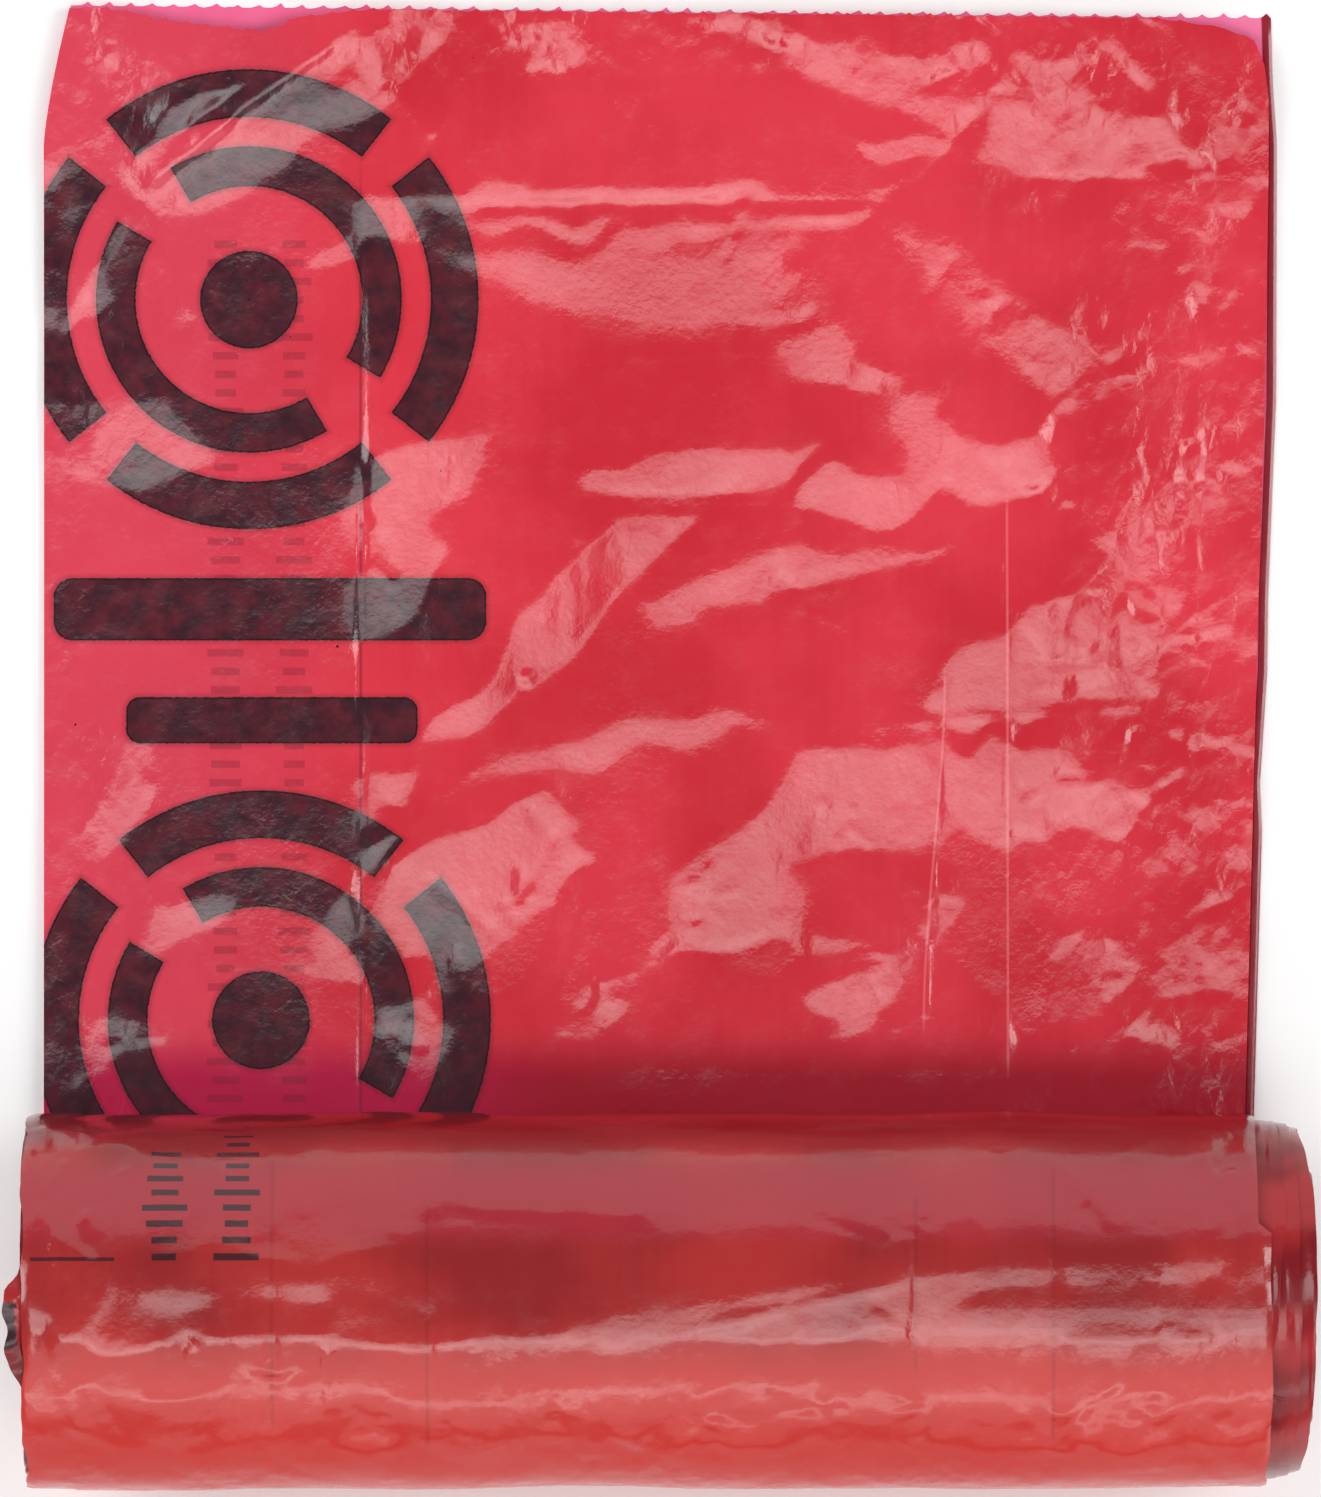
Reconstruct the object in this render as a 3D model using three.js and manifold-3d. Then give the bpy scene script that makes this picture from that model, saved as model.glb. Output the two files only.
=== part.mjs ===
// A roll of red plastic waste bags lying on a level floor, with the first bag drawn out flat from under it.
// Millimetres, +Z up. X runs along the roll, +Y is the way the bag is drawn out, and the origin is on the
// floor, under the middle of the whole thing. The thicknesses are those of the plies with air between.
import * as THREE from 'three';
import { mergeVertices } from 'three/addons/utils/BufferGeometryUtils.js';
import Module from 'manifold-3d';

const wasm = await Module();
wasm.setup();

// Driving dimensions.
const film = {
  foldedWidth: 304.8, // a 609.6 wide bag folded once
  narrowing: 5.6, // the folded width drawn in where the bag leaves the roll
  outerPly: 0.5, // the panel that lies on the floor
  innerPlies: 1.5, // the creased plies above it
  plyInset: 0.6, // the inner plies' folds lie this far inside the outer panel's
  woundPly: 0.8, // the same plies drawn tight around the roll
};
const drawn = {
  length: 316, // roll axis to free edge, at the right-hand corner
  skew: 3.2, // how much further the left-hand corner reaches
  wrapDegrees: 345, // how far the first bag still goes around the roll
  easeStart: 8, // the plies start to open this far past the roll axis
  easeEnd: 22,
  overlap: 2, // the flat plies are joined to the wrap over this length
};
const roll = {
  width: 91.8, // measured level, across the wrapped first bag
  ovality: 0.965, // height over width, from its own weight
  boreRadius: 10,
  turnGroups: 11, // groups of turns that show on the ends
  grooveDepth: 1.0,
  leftOverhang: 3.0, // the outer turns past the first bag's left fold
  leftRecess: 4.3, // the inner turns sit this much deeper than the outer ones
  rightOverhang: 7.4, // the outer turns past the first bag's right edge
  rightBulge: 5.9, // the inner turns stand this much further out
  bulgePower: 5,
  segments: 64,
};
const tear = {
  pitch: 5.4, // the perforation along the free edge
  height: 1.2,
  tipWidth: 0.86,
  unevenness: 0.12, // how far the torn line wanders
};
const corner = {
  leftPullIn: 6.6, // the left fold is drawn in at the free edge
  leftPullLength: 35,
  rightPullIn: 1.3,
  rightPullLength: 30,
  dipStart: 14.0, // the inner plies hang back here, measured from the left corner
  dipFloor: 44.4,
  dipFloorEnd: 51.7,
  dipEnd: 59.2,
  dipDepth: 6.3,
  roundWidth: 12.0, // the inner plies are rounded off at the right corner
  roundLength: 17.5,
  roundSteps: 6,
};
const clearance = 0.3;
const rootInset = 0.3; // the flat plies start this far inside the wrap's sides, to widen beyond it

// Places worked out from the sizes.
const halfRoll = roll.width / 2;
const axisZ = halfRoll * roll.ovality;
const spiralStep = film.woundPly + clearance;
const coreRadius = halfRoll - film.woundPly - spiralStep - clearance;
const wrapWidth = film.foldedWidth - film.narrowing;
const totalLength = halfRoll + drawn.length + drawn.skew + tear.height;
const totalWidth = wrapWidth + roll.leftOverhang + roll.rightOverhang + roll.rightBulge;
const axisY = halfRoll - totalLength / 2;
const leftX = roll.leftOverhang - totalWidth / 2;
const wrapRightX = leftX + wrapWidth;
const sheetRightX = leftX + film.foldedWidth;
const sheetTop = film.outerPly + film.innerPlies;

const solidOf = (geometry) => {
  const bare = geometry.clone();
  bare.deleteAttribute('normal');
  bare.deleteAttribute('uv');
  const merged = mergeVertices(bare, 1e-4);
  return new wasm.Manifold(new wasm.Mesh({
    numProp: 3,
    vertProperties: merged.attributes.position.array,
    triVerts: new Uint32Array(merged.index.array),
  }));
};

const geometryOf = (solid) => {
  const mesh = solid.getMesh();
  const geometry = new THREE.BufferGeometry();
  geometry.setAttribute('position', new THREE.BufferAttribute(mesh.vertProperties, 3));
  geometry.setIndex(new THREE.BufferAttribute(mesh.triVerts, 1));
  const flat = geometry.toNonIndexed();
  flat.computeVertexNormals();
  return flat;
};

const shapeOf = (points) => new THREE.Shape(points.map(([a, b]) => new THREE.Vector2(a, b)));

// A prism on an outline in the floor plane.
const slab = (points, low, high) => new THREE.ExtrudeGeometry(shapeOf(points), {
  depth: high - low,
  bevelEnabled: false,
}).translate(0, 0, low);

// A prism on a (y, z) section, run along X.
const alongX = (points, low, high) => new THREE.ExtrudeGeometry(shapeOf(points), {
  depth: high - low,
  bevelEnabled: false,
}).translate(0, 0, low).applyMatrix4(new THREE.Matrix4().makeBasis(
  new THREE.Vector3(0, 1, 0),
  new THREE.Vector3(0, 0, 1),
  new THREE.Vector3(1, 0, 0),
));

// The line that the free edge was torn along, by the distance from the left corner.
const freeLeftX = leftX + corner.leftPullIn;
const freeRightX = sheetRightX - corner.rightPullIn;
const freeEdgeY = (x) => {
  const share = (x - freeLeftX) / (freeRightX - freeLeftX);
  return axisY + drawn.length + drawn.skew * (1 - share);
};

// Torn film: small points at the perforation's pitch, on a base line that wanders a little.
const wander = (i) => Math.sin(2.4 * i) + Math.sin(0.37 * i * i);
const tornEdge = (fromX, toX, baseY) => {
  const points = [];
  const first = Math.ceil((fromX - freeLeftX) / tear.pitch);
  const tip = tear.tipWidth / 2;
  for (let i = first; freeLeftX + (i + 0.5) * tear.pitch + tip < toX; i += 1) {
    const x = freeLeftX + (i + 0.5) * tear.pitch;
    const fromRoot = baseY(x - tip) + tear.unevenness * wander(i);
    const toRoot = baseY(x + tip) + tear.unevenness * wander(i + 0.5);
    points.push([x - tip, fromRoot], [x, baseY(x) + tear.height], [x + tip, toRoot]);
  }
  return points;
};

// Outline of the panel on the floor, from where it leaves the roll to the free edge.
const taperStartY = axisY + drawn.easeEnd;
const sheetStartY = taperStartY - drawn.overlap;
const fullWidthY = taperStartY + drawn.overlap / 4;
const leftPullY = freeEdgeY(freeLeftX) - corner.leftPullLength;
const rightPullY = freeEdgeY(freeRightX) - corner.rightPullLength;
const outerOutline = [
  [leftX + rootInset, sheetStartY],
  [wrapRightX - rootInset, sheetStartY],
  [wrapRightX, fullWidthY],
  [sheetRightX, rightPullY],
  [freeRightX, freeEdgeY(freeRightX)],
  ...tornEdge(freeLeftX, freeRightX, freeEdgeY).reverse(),
  [freeLeftX, freeEdgeY(freeLeftX)],
  [leftX, leftPullY],
  [leftX, fullWidthY],
];

// The inner plies hang back in a dip by the left corner and are rounded off at the right one.
const dipY = (x) => {
  const from = x - freeLeftX;
  const down = THREE.MathUtils.clamp((from - corner.dipStart) / (corner.dipFloor - corner.dipStart), 0, 1);
  const up = THREE.MathUtils.clamp((from - corner.dipFloorEnd) / (corner.dipEnd - corner.dipFloorEnd), 0, 1);
  return freeEdgeY(x) - clearance - corner.dipDepth * (down - up);
};
const roundStartX = freeRightX - corner.roundWidth;
const roundPoints = [];
for (let i = 0; i <= corner.roundSteps; i += 1) {
  const turn = (i / corner.roundSteps) * (Math.PI / 2);
  const endX = freeRightX - film.plyInset;
  roundPoints.push([
    endX - (endX - roundStartX) * (1 - Math.cos(turn)),
    dipY(roundStartX) - corner.roundLength * (1 - Math.sin(turn)),
  ]);
}
const innerOutline = [
  [leftX + film.plyInset, sheetStartY],
  [wrapRightX - film.plyInset, sheetStartY],
  [wrapRightX - film.plyInset, taperStartY],
  [sheetRightX - film.plyInset, rightPullY],
  ...roundPoints,
  ...tornEdge(freeLeftX + film.plyInset, roundStartX, dipY).reverse(),
  [freeLeftX + film.plyInset, dipY(freeLeftX + film.plyInset)],
  [leftX + film.plyInset, leftPullY],
];

// The first bag: flat on the floor, under the roll, up its front and once around it.
const wrapEndTurn = THREE.MathUtils.degToRad(drawn.wrapDegrees);
const spiralPoint = (turn, depth) => {
  const radius = halfRoll - depth - (spiralStep * turn) / (2 * Math.PI);
  return [axisY - radius * Math.sin(turn), axisZ - radius * roll.ovality * Math.cos(turn)];
};
const outerCurve = [];
const innerCurve = [];
for (let i = 0; i <= roll.segments; i += 1) {
  const turn = (i / roll.segments) * wrapEndTurn;
  outerCurve.push(spiralPoint(turn, 0));
  innerCurve.push(spiralPoint(turn, film.woundPly));
}
const wrapSection = [
  [axisY + drawn.easeEnd, 0],
  [axisY + drawn.easeEnd, sheetTop],
  [sheetStartY, sheetTop],
  [axisY + drawn.easeStart, film.woundPly],
  ...innerCurve,
  ...outerCurve.reverse(),
];

const filmMaterial = new THREE.MeshStandardMaterial({ color: 0xd63a48, roughness: 0.28, metalness: 0 });
const woundMaterial = new THREE.MeshStandardMaterial({ color: 0xc23a38, roughness: 0.32, metalness: 0 });

const leadBag = () => {
  const outer = solidOf(slab(outerOutline, 0, film.outerPly));
  const inner = solidOf(slab(innerOutline, film.outerPly / 2, sheetTop));
  const wrap = solidOf(alongX(wrapSection, leftX, wrapRightX));
  const mesh = new THREE.Mesh(geometryOf(wrap.add(inner).add(outer)), filmMaterial);
  mesh.name = 'lead_bag';
  return mesh;
};

// The bags still wound: one turned solid with its bore. A groove between each two groups of turns shows on
// the ends, and the inner groups have slid to the right.
const woundBags = () => {
  const leftOuter = leftX - roll.leftOverhang;
  const rightOuter = wrapRightX + roll.rightOverhang;
  const wall = coreRadius - roll.boreRadius;
  const slide = (radius) => 1 - ((radius - roll.boreRadius) / wall) ** roll.bulgePower;
  const pitch = wall / roll.turnGroups;
  const right = [];
  const left = [];
  for (let i = 0; i <= roll.turnGroups; i += 1) {
    const radius = roll.boreRadius + i * pitch;
    right.push([radius, rightOuter + roll.rightBulge * slide(radius) - roll.grooveDepth]);
    left.push([radius, leftOuter + roll.leftRecess * slide(radius) + roll.grooveDepth]);
    if (i < roll.turnGroups) {
      const crest = radius + pitch / 2;
      right.push([crest, rightOuter + roll.rightBulge * slide(crest)]);
      left.push([crest, leftOuter + roll.leftRecess * slide(crest)]);
    }
  }
  const profile = [...left, ...right.reverse(), left[0]].map(([r, x]) => new THREE.Vector2(r, x));
  const onItsSide = new THREE.Matrix4().makeBasis(
    new THREE.Vector3(0, 1, 0),
    new THREE.Vector3(1, 0, 0),
    new THREE.Vector3(0, 0, -1),
  );
  const geometry = new THREE.LatheGeometry(profile, roll.segments).applyMatrix4(onItsSide);
  geometry.scale(1, 1, roll.ovality);
  const mesh = new THREE.Mesh(geometry, woundMaterial);
  mesh.name = 'wound_bags';
  mesh.position.set(0, axisY, axisZ);
  return mesh;
};

const bagRoll = new THREE.Group();
bagRoll.add(leadBag(), woundBags());
const extent = new THREE.Box3().setFromObject(bagRoll, true);
const middle = extent.getCenter(new THREE.Vector3());
bagRoll.position.set(-middle.x, -middle.y, -extent.min.z);
export default bagRoll;
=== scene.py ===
# A roll of red plastic waste bags with its first bag drawn out flat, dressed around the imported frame.
import math

import bpy
import numpy as np
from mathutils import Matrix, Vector
from mathutils.bvhtree import BVHTree
from mathutils.geometry import delaunay_2d_cdt


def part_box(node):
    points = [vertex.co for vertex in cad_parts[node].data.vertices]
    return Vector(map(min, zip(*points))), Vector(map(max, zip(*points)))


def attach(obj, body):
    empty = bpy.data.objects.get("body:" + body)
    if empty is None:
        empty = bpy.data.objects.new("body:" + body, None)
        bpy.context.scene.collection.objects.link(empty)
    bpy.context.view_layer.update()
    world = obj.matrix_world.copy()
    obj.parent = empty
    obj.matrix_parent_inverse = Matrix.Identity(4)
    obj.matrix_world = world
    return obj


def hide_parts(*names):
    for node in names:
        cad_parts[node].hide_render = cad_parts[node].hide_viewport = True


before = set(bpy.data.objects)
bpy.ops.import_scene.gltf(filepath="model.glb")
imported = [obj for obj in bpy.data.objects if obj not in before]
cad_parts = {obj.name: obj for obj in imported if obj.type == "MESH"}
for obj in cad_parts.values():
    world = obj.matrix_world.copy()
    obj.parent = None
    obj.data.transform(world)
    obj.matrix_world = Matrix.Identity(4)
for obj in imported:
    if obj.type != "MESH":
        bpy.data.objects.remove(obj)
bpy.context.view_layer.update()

mm = 0.001

# Places read from the frame, in millimetres.
leadLow, leadHigh = (Vector(corner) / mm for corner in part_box("lead_bag"))
woundLow, woundHigh = (Vector(corner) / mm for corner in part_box("wound_bags"))
axisY = (woundLow.y + woundHigh.y) / 2
axisZ = (woundLow.z + woundHigh.z) / 2
coreRadius = (woundHigh.y - woundLow.y) / 2
ovality = (woundHigh.z - woundLow.z) / (woundHigh.y - woundLow.y)
halfRoll = axisZ / ovality
leftX = leadLow.x
sheetWidth = leadHigh.x - leadLow.x
wrapWidth = sheetWidth - 5.6  # the folded width is drawn in at the roll
freeReach = leadHigh.y - axisY  # roll axis to the tips of the torn edge


def smooth(t):
    t = np.clip(t, 0, 1)
    return t * t * (3 - 2 * t)


# Camera and room

studio = {
    "photoWidth": 1321,
    "pixelsPerMm": 4.033,
    "aimX": -2.43,  # where the middle of the picture meets the floor
    "aimY": -2.385,
    "cameraHeight": 3700,
    "floorColour": (0.97, 0.97, 0.97, 1),
    "floorGlow": 0.07,
    "skyStrength": 0.2,
}
softBoxes = {  # place, size, power in watts
    "top_rim": ((0.1, -0.79, 6.0), (3.9, 0.54), 14.5),
    "top": ((0.1, -1.36, 6.0), (3.7, 0.54), 17.5),
    "top_far": ((0.1, -1.95, 5.9), (3.2, 0.6), 24.5),
    "top_last": ((0.1, -2.6, 5.7), (2.8, 0.66), 18.0),
    "front": ((0.1, -1.35, 1.0), (1.9, 1.5), 7.6),
    "front_low": ((0.1, -1.39, 0.8), (1.9, 0.15), 1.9),
    "back": ((0.0, 1.75, 0.75), (3.2, 1.6), 11.0),
    "left": ((-1.2, 0.25, 1.0), (0.6, 1.1), 9.5),
    "right": ((1.1, 0.15, 1.2), (0.5, 1.1), 8.5),
}


def makeStudio():
    camera = bpy.data.cameras.new("camera")
    camera.sensor_fit = "HORIZONTAL"
    seenWidth = studio["photoWidth"] / studio["pixelsPerMm"]
    camera.lens = camera.sensor_width * studio["cameraHeight"] / seenWidth
    camera.clip_end = 20
    cameraObject = bpy.data.objects.new("camera", camera)
    cameraObject.location = (studio["aimX"] * mm, studio["aimY"] * mm, studio["cameraHeight"] * mm)
    bpy.context.collection.objects.link(cameraObject)
    bpy.context.scene.camera = cameraObject
    for name, (place, size, power) in softBoxes.items():
        light = bpy.data.lights.new(name + "_softbox", "AREA")
        light.shape = "RECTANGLE"
        light.size, light.size_y = size
        light.energy = power
        lightObject = bpy.data.objects.new(name + "_softbox", light)
        lightObject.location = place
        lightObject.rotation_euler = (-Vector(place)).to_track_quat("-Z", "Y").to_euler()
        lightObject.visible_camera = False
        bpy.context.collection.objects.link(lightObject)
    world = bpy.data.worlds.new("studio")
    world.use_nodes = True
    world.node_tree.nodes["Background"].inputs["Color"].default_value = (1, 1, 1, 1)
    world.node_tree.nodes["Background"].inputs["Strength"].default_value = studio["skyStrength"]
    bpy.context.scene.world = world
    bpy.context.scene.view_settings.view_transform = "Standard"
    mesh = bpy.data.meshes.new("floor")
    mesh.from_pydata([(-6, -6, 0), (6, -6, 0), (6, 6, 0), (-6, 6, 0)], [], [(0, 1, 2, 3)])
    floor = bpy.data.objects.new("floor", mesh)
    bpy.context.collection.objects.link(floor)
    paper = bpy.data.materials.new("pale_floor")
    paper.use_nodes = True
    shader = paper.node_tree.nodes["Principled BSDF"]
    shader.inputs["Base Color"].default_value = studio["floorColour"]
    shader.inputs["Roughness"].default_value = 0.8
    shader.inputs["Emission Color"].default_value = (1, 1, 1, 1)
    shader.inputs["Emission Strength"].default_value = studio["floorGlow"]
    mesh.materials.append(paper)


makeStudio()
print("camera, lights and floor are set")


# Shader node groups shared by the films

def linear(red, green, blue):
    return tuple(((c / 255 + 0.055) / 1.055) ** 2.4 if c > 10 else c / 255 / 12.92 for c in (red, green,
        blue)) + (1,)


def newGroup(name, inputs, outputs):
    tree = bpy.data.node_groups.new(name, "ShaderNodeTree")
    for label, kind, value in inputs:
        socket = tree.interface.new_socket(label, in_out="INPUT", socket_type="NodeSocket" + kind)
        if value is not None:
            socket.default_value = value
    for label, kind in outputs:
        tree.interface.new_socket(label, in_out="OUTPUT", socket_type="NodeSocket" + kind)
    return tree, tree.nodes.new("NodeGroupInput").outputs, tree.nodes.new("NodeGroupOutput").inputs


def wire(tree, target, source):
    if isinstance(source, bpy.types.NodeSocket):
        tree.links.new(source, target)
    elif source is not None:
        target.default_value = source


def calc(tree, operation, *values, clamp=False):
    node = tree.nodes.new("ShaderNodeMath")
    node.operation = operation
    node.use_clamp = clamp
    for socket, value in zip(node.inputs, values):
        wire(tree, socket, value)
    return node.outputs[0]


def mathStep(operation):
    return lambda tree, *values, **options: calc(tree, operation, *values, **options)


plus, minus, times, ratio = (mathStep(kind) for kind in ("ADD", "SUBTRACT", "MULTIPLY", "DIVIDE"))
unsigned, larger = mathStep("ABSOLUTE"), mathStep("MAXIMUM")


# a thin soft line where the value is at its middle
def lineMask(tree, value, middle, inner, outer, strength):
    return ramp(tree, unsigned(tree, minus(tree, value, middle)), inner, outer, strength, 0.0)


def betweenMask(tree, value, low, high, soft):
    return times(tree, ramp(tree, value, low - soft, low + soft),
        ramp(tree, value, high - soft, high + soft, 1.0, 0.0))


def split(tree, vector):
    node = tree.nodes.new("ShaderNodeSeparateXYZ")
    wire(tree, node.inputs[0], vector)
    return node.outputs


def ramp(tree, value, low, high, fromValue=0.0, toValue=1.0):
    node = tree.nodes.new("ShaderNodeMapRange")
    node.interpolation_type = "SMOOTHSTEP"
    for socket, item in zip(node.inputs, (value, low, high, fromValue, toValue)):
        wire(tree, socket, item)
    return node.outputs[0]


def blendColour(tree, share, first, second):
    node = tree.nodes.new("ShaderNodeMix")
    node.data_type = "RGBA"
    wire(tree, node.inputs["Factor"], share)
    wire(tree, node.inputs["A"], first)
    wire(tree, node.inputs["B"], second)
    return node.outputs["Result"]


def noiseTexture(tree, vector, scale, detail=2.0, roughness=0.5):
    node = tree.nodes.new("ShaderNodeTexNoise")
    wire(tree, node.inputs["Vector"], vector)
    node.inputs["Scale"].default_value = scale
    node.inputs["Detail"].default_value = detail
    node.inputs["Roughness"].default_value = roughness
    return node.outputs[0]


def stretch(tree, vector, scale):
    node = tree.nodes.new("ShaderNodeMapping")
    wire(tree, node.inputs["Vector"], vector)
    node.inputs["Scale"].default_value = scale
    return node.outputs[0]


def place(tree, group, inputs):
    node = tree.nodes.new("ShaderNodeGroup")
    node.node_tree = group
    for label, value in inputs.items():
        wire(tree, node.inputs[label], value)
    return node.outputs


def makeArcGroup():  # signed distance, in millimetres, to a ring that is broken into arcs
    tree, given, wanted = newGroup(
        "printed arcs",
        [("Place", "Vector", None), ("Centre X", "Float", 0.0), ("Centre Y", "Float", 0.0),
            ("Radius", "Float", 30.0),
         ("Half Width", "Float", 5.0), ("Arcs", "Float", 4.0), ("Open Share", "Float", 0.2), ("Turn", "Float",
             0.0)],
        [("Distance", "Float")],
    )
    spot = split(tree, given["Place"])
    across = minus(tree, spot[0], given["Centre X"])
    along = minus(tree, spot[1], given["Centre Y"])
    reach = calc(tree, "SQRT", plus(tree, times(tree, across, across), times(tree, along, along)))
    ring = minus(tree, unsigned(tree, minus(tree, reach, given["Radius"])), given["Half Width"])
    turn = ratio(tree, calc(tree, "ARCTAN2", along, across), 2 * math.pi)
    cell = calc(tree, "FRACT", plus(tree, times(tree, turn, given["Arcs"]), given["Turn"]))
    half = minus(tree, 0.5, times(tree, given["Open Share"], 0.5))
    past = minus(tree, unsigned(tree, minus(tree, cell, 0.5)), half)
    arcLength = ratio(tree, times(tree, reach, 2 * math.pi), given["Arcs"])
    wire(tree, wanted["Distance"], larger(tree, ring, times(tree, past, arcLength)))
    return tree


def makeBarGroup():  # signed distance, in millimetres, to a bar with rounded corners
    tree, given, wanted = newGroup(
        "printed bar",
        [("Place", "Vector", None), ("Centre X", "Float", 0.0), ("Centre Y", "Float", 0.0),
            ("Half Length", "Float", 20.0),
         ("Half Width", "Float", 5.0), ("Corner", "Float", 2.0)],
        [("Distance", "Float")],
    )
    spot = split(tree, given["Place"])
    overs = []
    for axis, centre, half in ((0, "Centre X", "Half Length"), (1, "Centre Y", "Half Width")):
        away = unsigned(tree, minus(tree, spot[axis], given[centre]))
        overs.append(plus(tree, minus(tree, away, given[half]), given["Corner"]))
    outX, outY = (larger(tree, over, 0.0) for over in overs)
    outer = calc(tree, "SQRT", plus(tree, times(tree, outX, outX), times(tree, outY, outY)))
    inner = calc(tree, "MINIMUM", larger(tree, *overs), 0.0)
    wire(tree, wanted["Distance"], minus(tree, plus(tree, outer, inner), given["Corner"]))
    return tree


def makeDashGroup():  # a column of thin dashes of uneven length, as a mask
    tree, given, wanted = newGroup(
        "printed dashes",
        [("Place", "Vector", None), ("Centre X", "Float", 0.0), ("Half Width", "Float", 3.0),
            ("Pitch", "Float", 6.0),
         ("From Y", "Float", 0.0), ("To Y", "Float", 100.0), ("Seed", "Float", 0.0)],
        [("Mask", "Float")],
    )
    spot = split(tree, given["Place"])
    across = unsigned(tree, minus(tree, spot[0], given["Centre X"]))
    steps = ratio(tree, spot[1], given["Pitch"])
    cell = calc(tree, "FLOOR", steps)
    chance = tree.nodes.new("ShaderNodeTexWhiteNoise")
    chance.noise_dimensions = "1D"
    wire(tree, chance.inputs["W"], plus(tree, cell, given["Seed"]))
    reach = times(tree, given["Half Width"], ramp(tree, chance.outputs[0], 0.0, 1.0, 0.5, 1.0))
    inWidth = ramp(tree, minus(tree, across, reach), -0.15, 0.15, 1.0, 0.0)
    inLine = ramp(tree, unsigned(tree, minus(tree, calc(tree, "FRACT", steps), 0.5)), 0.17, 0.24, 1.0, 0.0)
    above = calc(tree, "GREATER_THAN", spot[1], given["From Y"])
    below = calc(tree, "LESS_THAN", spot[1], given["To Y"])
    mask = times(tree, times(tree, inWidth, inLine), times(tree, above, below))
    wire(tree, wanted["Mask"], mask)
    return tree


def makeInkGroup():  # print from its distance: plum ink, patchy, with a darker line around it
    tree, given, wanted = newGroup(
        "plum ink",
        [("Place", "Vector", None), ("Distance", "Float", 1.0), ("Film", "Color", (0.6, 0.03, 0.05, 1)),
         ("Ink", "Color", linear(62, 17, 34)), ("Rim", "Color", linear(26, 6, 14)), ("Strength", "Float",
             1.0)],
        [("Color", "Color"), ("Mask", "Float")],
    )
    ragged = times(tree, minus(tree, noiseTexture(tree, given["Place"], 1.1, 1.0), 0.5), 0.5)
    distance = plus(tree, given["Distance"], ragged)
    mask = ramp(tree, distance, -0.12, 0.12, 1.0, 0.0)
    rim = ramp(tree, unsigned(tree, plus(tree, distance, 0.1)), 0.1, 0.42, 1.0, 0.0)
    halo = ramp(tree, distance, 0.1, 1.7, 0.3, 0.0)
    patchy = ramp(tree, noiseTexture(tree, given["Place"], 0.16, 4.0, 0.6), 0.3, 0.75, 1.0, 0.82)
    specks = tree.nodes.new("ShaderNodeTexVoronoi")
    wire(tree, specks.inputs["Vector"], given["Place"])
    specks.inputs["Scale"].default_value = 0.11
    speckSize = times(tree, split(tree, specks.outputs["Color"])[0], 0.075)
    speck = calc(tree, "LESS_THAN", specks.outputs["Distance"], minus(tree, speckSize, 0.03))
    toned = blendColour(tree, times(tree, times(tree, mask, patchy), given["Strength"]), given["Film"],
        given["Ink"])
    toned = blendColour(tree, times(tree, larger(tree, rim, halo), given["Strength"]), toned, given["Rim"])
    nearPrint = ramp(tree, split(tree, given["Place"])[0], 135.0, 95.0)
    toned = blendColour(tree, times(tree, speck, nearPrint), toned, given["Rim"])
    wire(tree, wanted["Color"], toned)
    wire(tree, wanted["Mask"], mask)
    return tree


def makeFilmGroup():  # uneven colour and gloss of blown film, with fine wrinkles and facets as a height
    tree, given, wanted = newGroup(
        "blown film",
        [("Place", "Vector", None), ("Deep", "Color", linear(204, 44, 60)),
            ("Light", "Color", linear(226, 66, 84)),
         ("Cloud Size", "Float", 60.0), ("Creased", "Float", 0.0)],
        [("Color", "Color"), ("Roughness", "Float"), ("Height", "Float")],
    )
    clouds = tree.nodes.new("ShaderNodeTexNoise")
    wire(tree, clouds.inputs["Vector"], given["Place"])
    wire(tree, clouds.inputs["Scale"], ratio(tree, 1.0, given["Cloud Size"]))
    clouds.inputs["Detail"].default_value = 2.0
    streaks = noiseTexture(tree, stretch(tree, given["Place"], (0.35, 0.012, 1)), 1.0, 2.0)
    tone = plus(tree, times(tree, clouds.outputs[0], 0.92), times(tree, streaks, 0.08))
    wire(tree, wanted["Color"], blendColour(tree, ramp(tree, tone, 0.36, 0.64), given["Deep"],
        given["Light"]))
    dull = noiseTexture(tree, given["Place"], 0.12, 2.0, 0.6)
    wire(tree, wanted["Roughness"], ramp(tree, dull, 0.35, 0.7, 0.14, 0.25))
    fine = noiseTexture(tree, given["Place"], 0.6, 2.0, 0.55)
    height = times(tree, fine, 0.5)
    for size, angle, tall in ((8.0, 0.5, 1.5), (3.6, 1.1, 0.6)):  # flat facets that meet in straight creases
        turned = tree.nodes.new("ShaderNodeMapping")
        wire(tree, turned.inputs["Vector"], given["Place"])
        turned.inputs["Rotation"].default_value = (0, 0, angle)
        turned.inputs["Scale"].default_value = (1 / size, 0.6 / size, 1)
        facets = tree.nodes.new("ShaderNodeTexVoronoi")
        facets.voronoi_dimensions = "2D"
        facets.distance = "MANHATTAN"
        wire(tree, facets.inputs["Vector"], turned.outputs[0])
        facets.inputs["Scale"].default_value = 1.0
        height = plus(tree, height, times(tree, times(tree, facets.outputs["Distance"], tall),
            given["Creased"]))
    wire(tree, wanted["Height"], height)
    return tree


arcGroup, barGroup, dashGroup = makeArcGroup(), makeBarGroup(), makeDashGroup()
inkGroup, filmGroup = makeInkGroup(), makeFilmGroup()


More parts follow.
